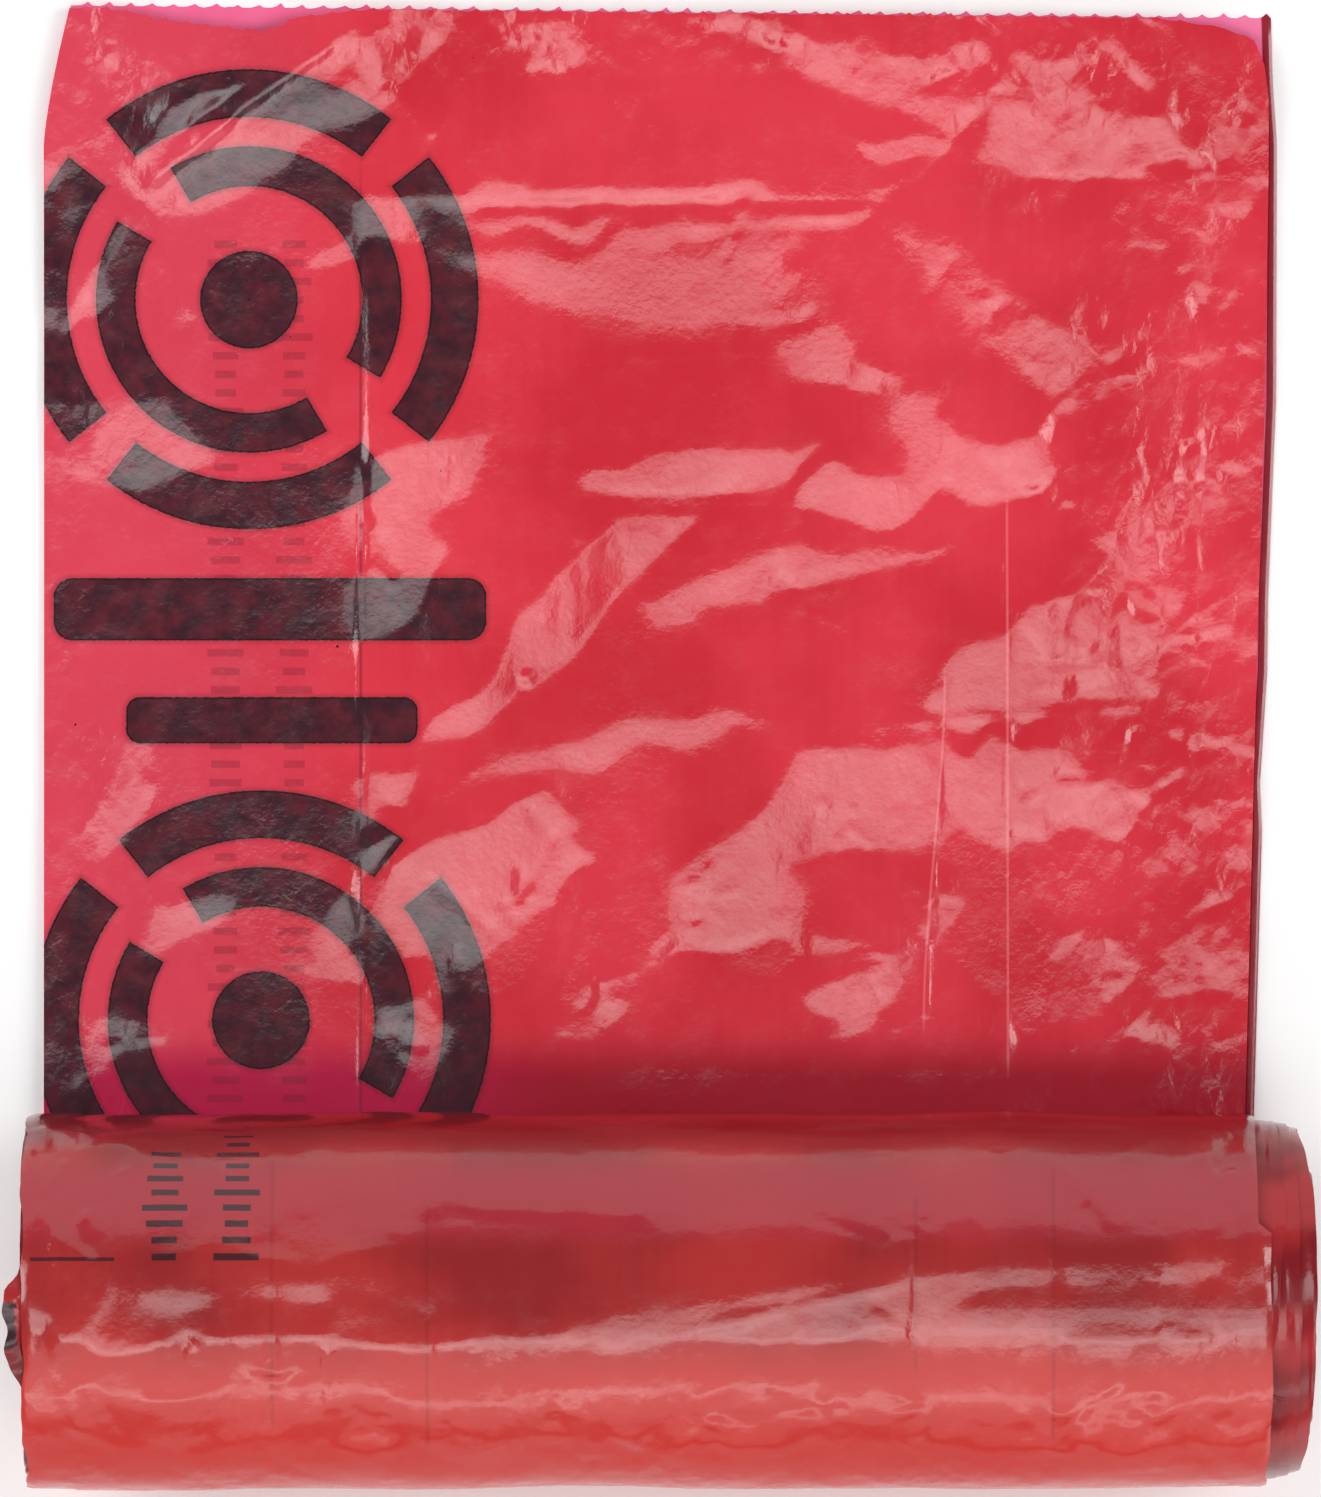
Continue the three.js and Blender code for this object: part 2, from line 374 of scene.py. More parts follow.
def newFilm(name, look, creased=None):
    material = bpy.data.materials.new(name)
    material.use_nodes = True
    tree = material.node_tree
    shader = tree.nodes["Principled BSDF"]
    shader.inputs["IOR"].default_value = 1.5
    shader.inputs["Coat Weight"].default_value = look["coat"]
    shader.inputs["Coat Roughness"].default_value = look["coatRoughness"]
    uvMap = tree.nodes.new("ShaderNodeUVMap")
    uvMap.uv_map = "film"
    millimetres = tree.nodes.new("ShaderNodeVectorMath")
    millimetres.operation = "SCALE"
    tree.links.new(uvMap.outputs[0], millimetres.inputs[0])
    millimetres.inputs["Scale"].default_value = 1000.0
    spot = millimetres.outputs[0]
    film = place(tree, filmGroup, {"Place": spot, "Deep": look["deep"], "Light": look["light"],
                                   "Cloud Size": look["clouds"], "Creased": look["creased"]})
    if creased is not None:
        wire(tree, film["Height"].node.inputs["Creased"], creased(tree, spot))
    tree.links.new(film["Roughness"], shader.inputs["Roughness"])
    bump = tree.nodes.new("ShaderNodeBump")
    bump.inputs["Strength"].default_value = look["bump"]
    bump.inputs["Distance"].default_value = 0.0003
    tree.links.new(film["Height"], bump.inputs["Height"])
    tree.links.new(bump.outputs[0], shader.inputs["Normal"])
    tree.links.new(film["Color"], shader.inputs["Base Color"])
    return material, tree, shader, spot, film["Color"]


# Film colours. Place is measured in millimetres, across from the left fold and along from the roll axis.
frontLook = {
    "deep": linear(206, 34, 51), "light": linear(226, 52, 70), "clouds": 62.0,
    "coat": 0.42, "coatRoughness": 0.06, "bump": 0.6, "creased": 0.1,
    "leftPink": linear(226, 72, 96), "rollShadeLeft": linear(190, 10, 70), "rollShadeRight": linear(164, 6,
        36),
    "plyLine": linear(120, 20, 40), "plyAcross": 78.5, "slit": linear(250, 130,
        140), "slits": [(218.0, 223.2, 66, 153), (238.9, 238.6, 56, 196)],
}
rearLook = {
    "deep": linear(255, 108, 156), "light": linear(255, 130, 178), "clouds": 30.0,
    "coat": 0.5, "coatRoughness": 0.08, "bump": 0.15, "creased": 0.1, "fold": linear(150, 30,
        46), "foldWidth": 2.3,
}
wrapLook = {
    "deep": linear(144, 28, 32), "light": linear(176, 42, 42), "clouds": 48.0,
    "coat": 0.48, "coatRoughness": 0.08, "bump": 0.5, "creased": 0.1, "floorLitSide": linear(212, 58, 52),
    # band: painted reflection, the mauve tint of the back light's sheen across the roll's top
    "band": linear(174, 40, 58),
    # deep red used both as painted shade on the roll's far side and for the pressed folds of the inner plies
    "farShadeAndFolds": linear(118, 16, 24), "pressed": [(58.6, 112, 186), (96.2, 106, 170), (214.6, 128, 172),
        (248.0, 108, 182)],
}
woundLook = {
    "deep": linear(126, 20, 28), "light": linear(172, 42, 46), "clouds": 22.0,
    "coat": 0.12, "coatRoughness": 0.1, "bump": 0.35, "creased": 0.1,
}
emblems = [  # centre across and along, in millimetres
    (50.8, 246.2),
    (53.8, 67.7),
]
emblemArcs = [  # radius, half width, arcs, open share, turn
    (51.0, 5.8, 4, 0.15, 0.5),
    (33.0, 4.8, 2, 0.16, 0.25),
    (6.0, 6.0, 1, -0.2, 0.0),
]
emblemBars = [  # centre across, along, half length, half width
    (56.0, 169.5, 53.5, 7.6),
    (56.5, 142.0, 36.0, 5.6),
]


def makePrintDistance(tree, spot):
    distances = []
    for across, along in emblems:
        for radius, halfWidth, arcs, openShare, turn in emblemArcs:
            distances.append(place(tree, arcGroup, {
                "Place": spot, "Centre X": across, "Centre Y": along, "Radius": radius,
                    "Half Width": halfWidth,
                "Arcs": float(arcs), "Open Share": openShare, "Turn": turn})["Distance"])
    for across, along, halfLength, halfWidth in emblemBars:
        distances.append(place(tree, barGroup, {
            "Place": spot, "Centre X": across, "Centre Y": along, "Half Length": halfLength,
            "Half Width": halfWidth, "Corner": halfWidth * 0.6})["Distance"])
    nearest = distances[0]
    for distance in distances[1:]:
        nearest = calc(tree, "MINIMUM", nearest, distance)
    return nearest


def frontCreased(tree, spot):  # most creased by the right edge, the free edge and the left fold
    across, along = split(tree, spot)[0:2]
    right = ramp(tree, across, 225.0, 285.0, 0.0, 1.0)
    free = ramp(tree, along, 268.0, 312.0, 0.0, 1.0)
    left = ramp(tree, across, 60.0, 8.0, 0.0, 0.6)
    patches = ramp(tree, noiseTexture(tree, spot, 0.022, 2.0), 0.4, 0.6, 0.3, 1.0)
    edges = larger(tree, larger(tree, right, free), left)
    return times(tree, plus(tree, edges, 0.4), patches)


def makeFrontFilm():
    material, tree, shader, spot, colour = newFilm("printed_red_film", frontLook, frontCreased)
    across, along = split(tree, spot)[0:2]
    colour = blendColour(tree, ramp(tree, across, 92.0, 30.0, 0.0, 0.6), colour, frontLook["leftPink"])
    shade = blendColour(tree, ramp(tree, across, 85.0, 135.0), frontLook["rollShadeLeft"],
        frontLook["rollShadeRight"])
    colour = blendColour(tree, ramp(tree, along, 67.0, 52.0, 0.0, 0.95), colour, shade)
    plyLine = lineMask(tree, across, frontLook["plyAcross"], 0.15, 0.5, 0.55)
    plyLine = times(tree, plyLine, ramp(tree, along, 285.0, 262.0))
    colour = blendColour(tree, plyLine, colour, frontLook["plyLine"])
    for across0, across1, low, high in frontLook["slits"]:
        middle = ramp(tree, along, low, high, across0, across1)
        line = lineMask(tree, across, middle, 0.15, 0.45, 0.4)
        within = betweenMask(tree, along, low, high, 3)
        colour = blendColour(tree, times(tree, line, within), colour, frontLook["slit"])
    for centre, seed in ((45.0, 3.0), (62.0, 11.0)):  # small print on the rear panel shows through
        dashes = place(tree, dashGroup, {"Place": spot, "Centre X": centre, "Half Width": 4.6, "Pitch": 4.6,
                                         "From Y": 46.0, "To Y": 262.0, "Seed": seed})["Mask"]
        colour = blendColour(tree, times(tree, dashes, 0.36), colour, linear(110, 24, 44))
    ink = place(tree, inkGroup, {"Place": spot, "Distance": makePrintDistance(tree, spot), "Film": colour})
    tree.links.new(ink["Color"], shader.inputs["Base Color"])
    return material


def makeRearFilm():
    material, tree, shader, spot, colour = newFilm("single_ply_film", rearLook)
    across = split(tree, spot)[0]
    edge = ramp(tree, across, sheetWidth - rearLook["foldWidth"] - 0.3,
        sheetWidth - rearLook["foldWidth"] + 0.1)
    tree.links.new(blendColour(tree, edge, colour, rearLook["fold"]), shader.inputs["Base Color"])
    return material


def wrapCreased(tree, spot):
    across, along = split(tree, spot)[0:2]
    nearSide = ramp(tree, along, 146.0, 128.0, 0.0, 1.0)
    ends = larger(tree, ramp(tree, across, 45.0, 10.0), ramp(tree, across, 255.0, 292.0))
    patches = ramp(tree, noiseTexture(tree, spot, 0.03, 2.0), 0.42, 0.6, 0.3, 1.0)
    return times(tree, plus(tree, larger(tree, nearSide, ends), 0.3), patches)


def makeWrapFilm():
    material, tree, shader, spot, colour = newFilm("wrapped_red_film", wrapLook, wrapCreased)
    along = split(tree, spot)[1]
    # painted light: the roll's near, lower side, over the floor, is made brighter and more orange
    colour = blendColour(tree, ramp(tree, along, 144.0, 122.0, 0.0, 0.85), colour, wrapLook["floorLitSide"])
    # painted reflection: the mauve tint of the back light's sheen, put into the colour as a band around the
    # roll
    inPaintedSheen = times(tree, ramp(tree, along, 157.0, 166.0), ramp(tree, along, 178.0, 188.0, 1.0, 0.0))
    colour = blendColour(tree, times(tree, inPaintedSheen, 0.7), colour, wrapLook["band"])
    for across, low, high in wrapLook["pressed"]:  # folds of the inner plies pressed through
        line = lineMask(tree, split(tree, spot)[0], across, 0.1, 0.8, 0.24)
        colour = blendColour(tree, times(tree, line, betweenMask(tree, along, low, high, 2)), colour,
            wrapLook["farShadeAndFolds"])
    # painted shade: the far, upper side of the roll is darkened; the same deep red also marks the pressed
    # folds above
    colour = blendColour(tree, ramp(tree, along, 184.0, 200.0, 0.0, 0.8), colour, wrapLook["farShadeAndFolds"])
    inked = linear(44, 16, 26)
    for centre, seed, low, high in ((32.5, 5.0, 154.0, 190.0), (50.0, 23.0, 154.0, 196.0)):
        dashes = place(tree, dashGroup, {"Place": spot, "Centre X": centre, "Half Width": 5.6, "Pitch": 4.4,
                                         "From Y": low, "To Y": high, "Seed": seed})["Mask"]
        colour = blendColour(tree, times(tree, dashes, 0.92), colour, inked)
    line = place(tree, barGroup, {"Place": spot, "Centre X": 10.3, "Centre Y": 155.6, "Half Length": 10.2,
                                  "Half Width": 0.45, "Corner": 0.3})["Distance"]
    colour = blendColour(tree, ramp(tree, line, -0.1, 0.15, 0.85, 0.0), colour, inked)
    tree.links.new(colour, shader.inputs["Base Color"])
    tree.links.new(ramp(tree, along, 98.0, 124.0, 0.08, wrapLook["coat"]), shader.inputs["Coat Weight"])
    tree.links.new(ramp(tree, along, 98.0, 124.0, 0.12, 0.5), shader.inputs["Specular IOR Level"])
    return material


def makeWoundFilm():  # with scraps of print on the bit that stands out at the left end
    material, tree, shader, spot, colour = newFilm("wound_red_film", woundLook)
    across, along = split(tree, spot)[0:2]
    ragged = times(tree, minus(tree, noiseTexture(tree, spot, 0.7, 2.0), 0.5), 3.0)
    outer = ramp(tree, plus(tree, across, ragged), -3.6, -3.2, 1.0, 0.0)
    within = times(tree, ramp(tree, along, 127.5, 128.5), ramp(tree, along, 138.5, 139.5, 1.0, 0.0))
    colour = blendColour(tree, times(tree, times(tree, outer, within), 0.95), colour, linear(44, 16, 26))
    tree.links.new(colour, shader.inputs["Base Color"])
    shader.inputs["Specular IOR Level"].default_value = 0.35
    return material


frontFilm, rearFilm, wrapFilm = makeFrontFilm(), makeRearFilm(), makeWrapFilm()
woundFilm = makeWoundFilm()
print("film materials are made")


# Relief of creased film, in millimetres

def swell(across, along, seed, shortest, longest, count=14):  # smooth undulation, about -1 to 1
    chance = np.random.default_rng(seed)
    total = np.zeros_like(across)
    for _ in range(count):
        wave = chance.uniform(shortest, longest)
        heading = chance.uniform(0, 2 * math.pi)
        phase = chance.uniform(0, 2 * math.pi)
        total += np.sin((across * math.cos(heading) + along * math.sin(heading)) * 2 * math.pi / wave + phase)
    return total / math.sqrt(count)


def crumple(across, along, seed, spacing, density=None):  # flat facets between sharp creases, about -1 to 1
    chance = np.random.default_rng(seed)
    low = np.array([across.min(), along.min()]) - 2 * spacing
    high = np.array([across.max(), along.max()]) + 2 * spacing
    count = int((high - low).prod() / spacing ** 2)
    points = chance.uniform(low, high, (count, 2))
    if density is not None:
        points = points[chance.uniform(0, 1, count) < density(points[:, 0], points[:, 1])]
    corners = np.array([low, (high[0], low[1]), high, (low[0], high[1])])
    points = np.vstack([points, corners])
    heights = chance.uniform(-1, 1, len(points))
    flat, _, faces, origins, _, _ = delaunay_2d_cdt([Vector(p) for p in points], [], [], 0, 1e-6)
    spread = [Vector((p.x, p.y, heights[o[0]])) for p, o in zip(flat, origins)]
    tree = BVHTree.FromPolygons(spread, faces)
    down = Vector((0, 0, -1))
    hits = (tree.ray_cast(Vector((x, y, 5)), down)[0] for x, y in zip(across.ravel(), along.ravel()))
    return np.array([hit.z if hit else 0.0 for hit in hits]).reshape(across.shape)


# a crest with a flank on each side
def fold(across, along, start, end, height, nearWidth, farWidth, fade=0.15):
    run = np.array(end, float) - np.array(start, float)
    length = np.hypot(*run)
    ux, uy = run / length
    t = ((across - start[0]) * ux + (along - start[1]) * uy) / length
    side = (along - start[1]) * ux - (across - start[0]) * uy
    flank = np.where(side > 0, np.exp(-np.abs(side) / farWidth), np.exp(-np.abs(side) / nearWidth))
    return height * flank * smooth(t / fade) * smooth((1 - t) / fade)


def lowestAround(field, reach):
    for axis in (0, 1):
        padded = np.pad(field, [(reach, reach) if a == axis else (0, 0) for a in (0, 1)], mode="edge")
        size = field.shape[axis]
        field = np.minimum.reduce([np.take(padded, range(k, k + size), axis) for k in range(2 * reach + 1)])
    return field


def closedSkin(name, top, under, coat, placeOnFilm, step=4):
    rows, columns = top.shape[:2]
    upper = np.arange(rows * columns).reshape(rows, columns)
    keep = np.zeros((rows, columns), bool)
    keep[::step, ::step] = True
    keep[[0, -1], :] = True
    keep[:, [0, -1]] = True
    lower = np.full((rows, columns), -1)
    lower[keep] = rows * columns + np.arange(keep.sum())
    points = np.vstack([top.reshape(-1, 3), under[keep]])
    faces = np.stack([upper[:-1, :-1], upper[:-1, 1:], upper[1:, 1:], upper[1:, :-1]], -1).reshape(-1,
        4).tolist()
    for i in range(0, rows - 1, step):
        for j in range(0, columns - 1, step):
            bottom = [lower[i, j + k] for k in range(step) if lower[i, j + k] >= 0]
            right = [lower[i + k, j + step] for k in range(step) if lower[i + k, j + step] >= 0]
            back = [lower[i + step, j + step - k] for k in range(step) if lower[i + step, j + step - k] >= 0]
            left = [lower[i + step - k, j] for k in range(step) if lower[i + step - k, j] >= 0]
            faces.append([int(v) for v in (bottom + right + back + left)][::-1])
    rim = [(0, j) for j in range(columns)] + [(i, columns - 1) for i in range(1, rows)]
    rim += [(rows - 1, j) for j in range(columns - 2, -1, -1)] + [(i, 0) for i in range(rows - 2, 0, -1)]
    for first, second in zip(rim, rim[1:] + rim[:1]):
        faces.append([int(lower[first]), int(lower[second]), int(upper[second]), int(upper[first])])
    mesh = bpy.data.meshes.new(name)
    mesh.from_pydata((points * mm).tolist(), [], faces)
    spots = np.vstack([placeOnFilm.reshape(-1, 2), placeOnFilm[keep]]) * mm
    loops = np.empty(len(mesh.loops), int)
    mesh.loops.foreach_get("vertex_index", loops)
    mesh.uv_layers.new(name="film").data.foreach_set("uv", spots[loops].astype(np.float32).ravel())
    mesh.shade_smooth()
    mesh.set_sharp_from_angle(angle=math.radians(60))
    mesh.materials.append(coat)
    piece = bpy.data.objects.new(name, mesh)
    bpy.context.collection.objects.link(piece)
    return piece


# First bag, flat part: outlines of the plies, along from the roll axis and across from the left fold

outline = {
    "toothHeight": 1.2,
    "columnsPerTooth": 5,
    "skew": 3.2,  # the free edge reaches further at the left
    "pullIn": 6.6,  # the left fold is drawn in at the free edge
    "pullLength": 35.0,
    "startAlong": 5.0,
}
rearRightEdge = [
    (44.0, 299.9), (97.5, 301.4), (114.8, 301.9), (126.5, 301.4), (154.2, 303.2), (172.3, 303.4),
    (221.4, 305.4), (285.0, 305.6), (300.0, 304.6), (320.0, 304.0),
]
frontRightEdge = [
    (44.0, 297.6), (97.5, 299.0), (174.3, 301.0), (221.4, 302.5), (276.0, 303.4), (296.0, 303.4),
    (304.0, 302.4), (310.0, 300.0), (313.5, 297.0), (315.6, 292.0),
]
frontDip = [
    (0, 0.8), (14.0, 0.5), (24.3, 1.7), (29.3, 3.0), (36.7, 3.9), (43.9, 4.8), (52.1, 5.6), (58.4, 5.9),
    (61.5, 4.5), (66.0, 2.4), (72.4, 1.7), (80.0, 0.6), (90.0, 0.3), (286.0, 0.3), (292.0, 1.2),
    (298.3, 2.4), (303.4, 5.5),
]


def leftEdge(along):  # how far the left fold is drawn in
    into = along - (freeReach - outline["toothHeight"] - outline["pullLength"])
    return outline["pullIn"] * np.clip(into / outline["pullLength"], 0, 1) ** 1.35


def freeEdge(across):
    share = np.clip((across - outline["pullIn"]) / (sheetWidth - outline["pullIn"]), 0, 1)
    return freeReach - outline["toothHeight"] - outline["skew"] * share


def tornTeeth(columns, seed, tall):  # small points at the perforation's pitch, with scallops between
    chance = np.random.default_rng(seed)
    profile = np.array([0.15, 0.02, 0.12, 0.34, 1.0])
    perTooth = outline["columnsPerTooth"]
    teeth = np.tile(profile, columns // perTooth + 1)[:columns]
    lift = np.repeat(chance.uniform(0.45, 1.0, columns // perTooth + 1), perTooth)[:columns]
    return tall * teeth * lift + 0.12 * chance.uniform(-1, 1, columns)


def plyGrid(rightEdge, edgeAlong, rows, columns, startAlong):
    v = np.linspace(0, 1, rows)[:, None]
    u = np.linspace(0, 1, columns)[None, :]
    guess = startAlong + v * (edgeAlong[None, :] - startAlong)
    left = leftEdge(guess)
    right = np.interp(guess, [a for a, _ in rightEdge], [b for _, b in rightEdge])
    return left + u * (right - left), guess


def makeRearPanel():  # the lowest ply, on the floor
    rows, columns = 141, 281
    across = np.linspace(outline["pullIn"], 304.0, columns)
    edge = freeEdge(across) + tornTeeth(columns, 5, outline["toothHeight"])
    x, y = plyGrid(rearRightEdge, edge, rows, columns, 0.5)
    fromRight = np.interp(y, [a for a, _ in rearRightEdge], [b for _, b in rearRightEdge]) - x
    height = 0.42 + 0.06 * swell(x, y, 21, 20, 60)
    height += 0.55 * smooth((rearLook["foldWidth"] - fromRight) / 0.8) * smooth(fromRight / 0.5)
    height *= 1 - 0.55 * smooth((y - (edge[None, :] - 4)) / 4)
    top = np.stack([leftX + x, axisY + y, height], -1)
    under = top.copy()
    under[..., 2] = 0.02
    spots = np.stack([x, y], -1)
    spots[..., 0] += sheetWidth - np.interp(y, [a for a, _ in rearRightEdge], [b for _, b in rearRightEdge])
    piece = closedSkin("lead_bag_rear_panel", top, under, rearFilm, spots)
    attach(piece, "root")
    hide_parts("lead_bag")


# where the flat film lies in the picture's pixels
picture = {"leftFold": 45, "middleRow": 748.5, "middleAlong": 135.0}
litFlanks = {  # flanks that tip towards the roll: tilt, softness of the rim, corners in the picture's pixels
    "fold crest": (1.25, 0.8, ((342, 20), (392, 28), (300, 74), (215, 120), (150, 188), (126, 188),
        (128, 160), (190, 108), (270, 62))),
    "fold foot": (0.55, 3.0, ((390, 60), (400, 96), (330, 124), (290, 150), (230, 190), (150, 235),
        (135, 195), (215, 150), (300, 104))),
    "crest corner": (0.9, 1.0, ((345, 18), (480, 18), (440, 60), (402, 96), (372, 72))),
    "free corner": (0.6, 3.0, ((100, 22), (200, 20), (250, 60), (200, 90), (140, 110), (98, 80))),
    "left knee": (0.8, 1.5, ((50, 150), (80, 150), (84, 225), (48, 262))),
    "left low knee": (0.6, 2.0, ((47, 285), (100, 275), (112, 315), (60, 345), (47, 375))),
    "under emblem": (0.5, 3.0, ((50, 405), (180, 400), (210, 470), (120, 490), (60, 470))),
    "first ridge": (0.8, 1.2, ((425, 192), (770, 182), (775, 201), (640, 203), (430, 206))),
    "first ridge shoulder": (0.75, 2.0, ((352, 198), (426, 192), (420, 238), (362, 242), (310, 268),
        (306, 254), (356, 226))),
    "second ridge": (0.6, 1.5, ((430, 214), (500, 212), (640, 224), (800, 212), (905, 208), (800, 232),
        (700, 240), (600, 262), (560, 250), (640, 236), (500, 226))),
    "ridge end": (0.7, 1.2, ((850, 136), (950, 140), (944, 162), (880, 160))),
    "ridge end low": (0.7, 1.2, ((866, 190), (925, 192), (900, 200), (868, 201))),
    "soft field": (0.42, 6.0, ((430, 260), (620, 255), (800, 240), (812, 320), (640, 330), (520, 300))),
    "edge fringe left": (0.8, 1.5, ((505, 22), (600, 22), (590, 70), (560, 74), (540, 92), (526, 55))),
    "edge fringe middle": (0.7, 2.0, ((690, 22), (860, 26), (990, 28), (972, 90), (940, 132), (860, 92),
        (790, 60), (720, 44))),
    "edge fringe right": (0.9, 1.2, ((1012, 28), (1062, 28), (1078, 80), (1058, 104), (1032, 64))),
    "corner panel": (0.55, 3.0, ((985, 90), (1060, 96), (1150, 122), (1172, 150), (1112, 182), (1040, 174),
        (975, 150))),
    "corner crest": (0.9, 1.0, ((1138, 108), (1184, 140), (1172, 172), (1136, 160))),
    "corner line": (0.8, 1.0, ((1190, 28), (1212, 40), (1250, 138), (1232, 152), (1204, 92))),
    "right rib high": (0.9, 0.8, ((1200, 212), (1252, 196), (1254, 208), (1200, 222))),
    "right rib low": (0.9, 0.8, ((1186, 282), (1252, 278), (1252, 290), (1186, 294))),
    "slant field": (0.5, 4.0, ((900, 240), (960, 250), (1030, 318), (1118, 362), (1112, 388), (1040, 404),
        (1000, 380), (950, 330))),
    "small rib": (0.9, 0.8, ((738, 316), (806, 308), (800, 322), (744, 324))),
    "slant rib": (0.7, 2.0, ((770, 336), (822, 324), (850, 358), (936, 392), (906, 404), (846, 388),
        (780, 372))),
    "broad band": (0.85, 2.0, ((895, 392), (940, 400), (950, 444), (1000, 458), (1046, 452), (1040, 484),
        (1000, 500), (930, 504), (870, 524), (806, 520), (828, 458), (900, 466))),
    "broad band left": (0.8, 2.0, ((590, 468), (640, 456), (700, 464), (760, 466), (812, 448), (796, 480),
        (760, 492), (680, 490), (590, 492))),
    "middle band": (1.0, 1.6, ((690, 502), (640, 505), (600, 530), (562, 574), (540, 604), (512, 640),
        (500, 680), (470, 704), (420, 730), (412, 756), (470, 742), (520, 712), (548, 690), (572, 650),
        (612, 600), (650, 552))),
    "print middle": (0.85, 2.0, ((366, 470), (420, 462), (490, 448), (492, 470), (438, 508), (440, 560),
        (420, 590), (384, 640), (362, 652), (358, 540))),
    "thin slope": (0.6, 1.5, ((822, 578), (950, 544), (905, 574), (836, 588))),
    "long slope": (0.5, 3.0, ((640, 600), (760, 556), (900, 548), (800, 590), (700, 625), (650, 650))),
    "short slope": (0.55, 3.0, ((560, 740), (500, 752), (480, 776), (540, 780), (580, 770), (640, 740),
        (700, 745), (780, 730), (700, 712))),
    "left low slope": (0.75, 2.0, ((102, 742), (164, 738), (150, 792), (128, 836), (100, 884), (94, 822),
        (120, 788))),
    "ply line foot": (0.8, 1.2, ((362, 792), (408, 782), (400, 812), (372, 824), (366, 860), (404, 832),
        (396, 862), (366, 886))),
    "large panel": (1.0, 1.6, ((398, 872), (440, 845), (500, 836), (540, 812), (562, 800), (582, 848),
        (592, 856), (560, 892), (530, 922), (506, 962), (480, 984), (452, 962), (440, 1004), (424, 1004),
        (430, 962), (398, 962))),
    "print low left": (0.7, 2.0, ((146, 910), (210, 880), (240, 890), (180, 930), (160, 955), (140, 945))),
    "print low middle": (0.8, 1.5, ((318, 906), (354, 892), (356, 972), (334, 962))),
    "low left": (0.85, 2.0, ((80, 1030), (120, 1016), (170, 1028), (112, 1062), (92, 1092), (76, 1080))),
    "low middle": (0.8, 1.5, ((368, 1012), (420, 1004), (446, 1032), (424, 1080), (404, 1064), (386, 1040))),
    "low ribs": (0.6, 1.5, ((578, 896), (600, 900), (600, 960), (640, 1000), (600, 1030), (548, 1042),
        (556, 1004), (586, 960))),
    "wide panel": (0.62, 3.0, ((656, 872), (740, 832), (782, 788), (806, 760), (870, 750), (944, 758),
        (942, 832), (862, 852), (800, 872), (806, 930), (860, 955), (760, 952), (660, 956))),
    "wide panel crest": (1.0, 2.0, ((740, 832), (782, 790), (806, 762), (850, 756), (852, 800), (866, 846),
        (800, 866), (770, 850))),
    "wide panel foot": (0.8, 2.0, ((800, 1000), (860, 972), (910, 958), (884, 1010), (842, 1030),
        (810, 1020))),
    "right panel high": (1.0, 2.0, ((938, 706), (962, 660), (1010, 622), (1058, 598), (1090, 560),
        (1150, 468), (1176, 500), (1152, 600), (1156, 640), (1172, 664), (1160, 698), (1000, 724),
        (950, 728))),
    "right panel low": (1.0, 2.5, ((952, 742), (1004, 744), (1080, 772), (1142, 782), (1134, 822),
        (1100, 842), (1060, 852), (1036, 880), (960, 852), (946, 800))),
    "slit panel": (0.7, 2.0, ((928, 892), (986, 888), (1054, 920), (1040, 952), (965, 932), (936, 952))),
    "right foot": (0.8, 2.0, ((1016, 1004), (1060, 952), (1104, 928), (1138, 932), (1142, 954), (1120, 982),
        (1060, 1012), (1030, 1022))),
    "right foot edge": (0.7, 1.5, ((1160, 940), (1246, 928), (1248, 1000), (1186, 992), (1160, 1004),
        (1176, 1050), (1120, 1048), (1150, 1010))),
}
creases = [  # start, end, height, width of the near and far flank
    ((77, 316), (22, 271), 1.3, 6, 2.0),
    ((66, 312), (30, 284), -0.6, 1.6, 2.2),
    ((22, 271), (3, 236), 0.8, 5, 2),
    ((22, 271), (38, 240), 0.5, 4, 1.5),
    ((80, 316), (96, 258), 0.5, 4, 2),
    ((84, 300), (98, 286), 0.5, 3, 2),
    ((236, 297), (239, 316), 0.4, 3, 2),
    ((250, 320), (276, 292), -0.7, 2.0, 2.2),
    ((138, 56), (257, 55), 0.15, 2, 3),
]
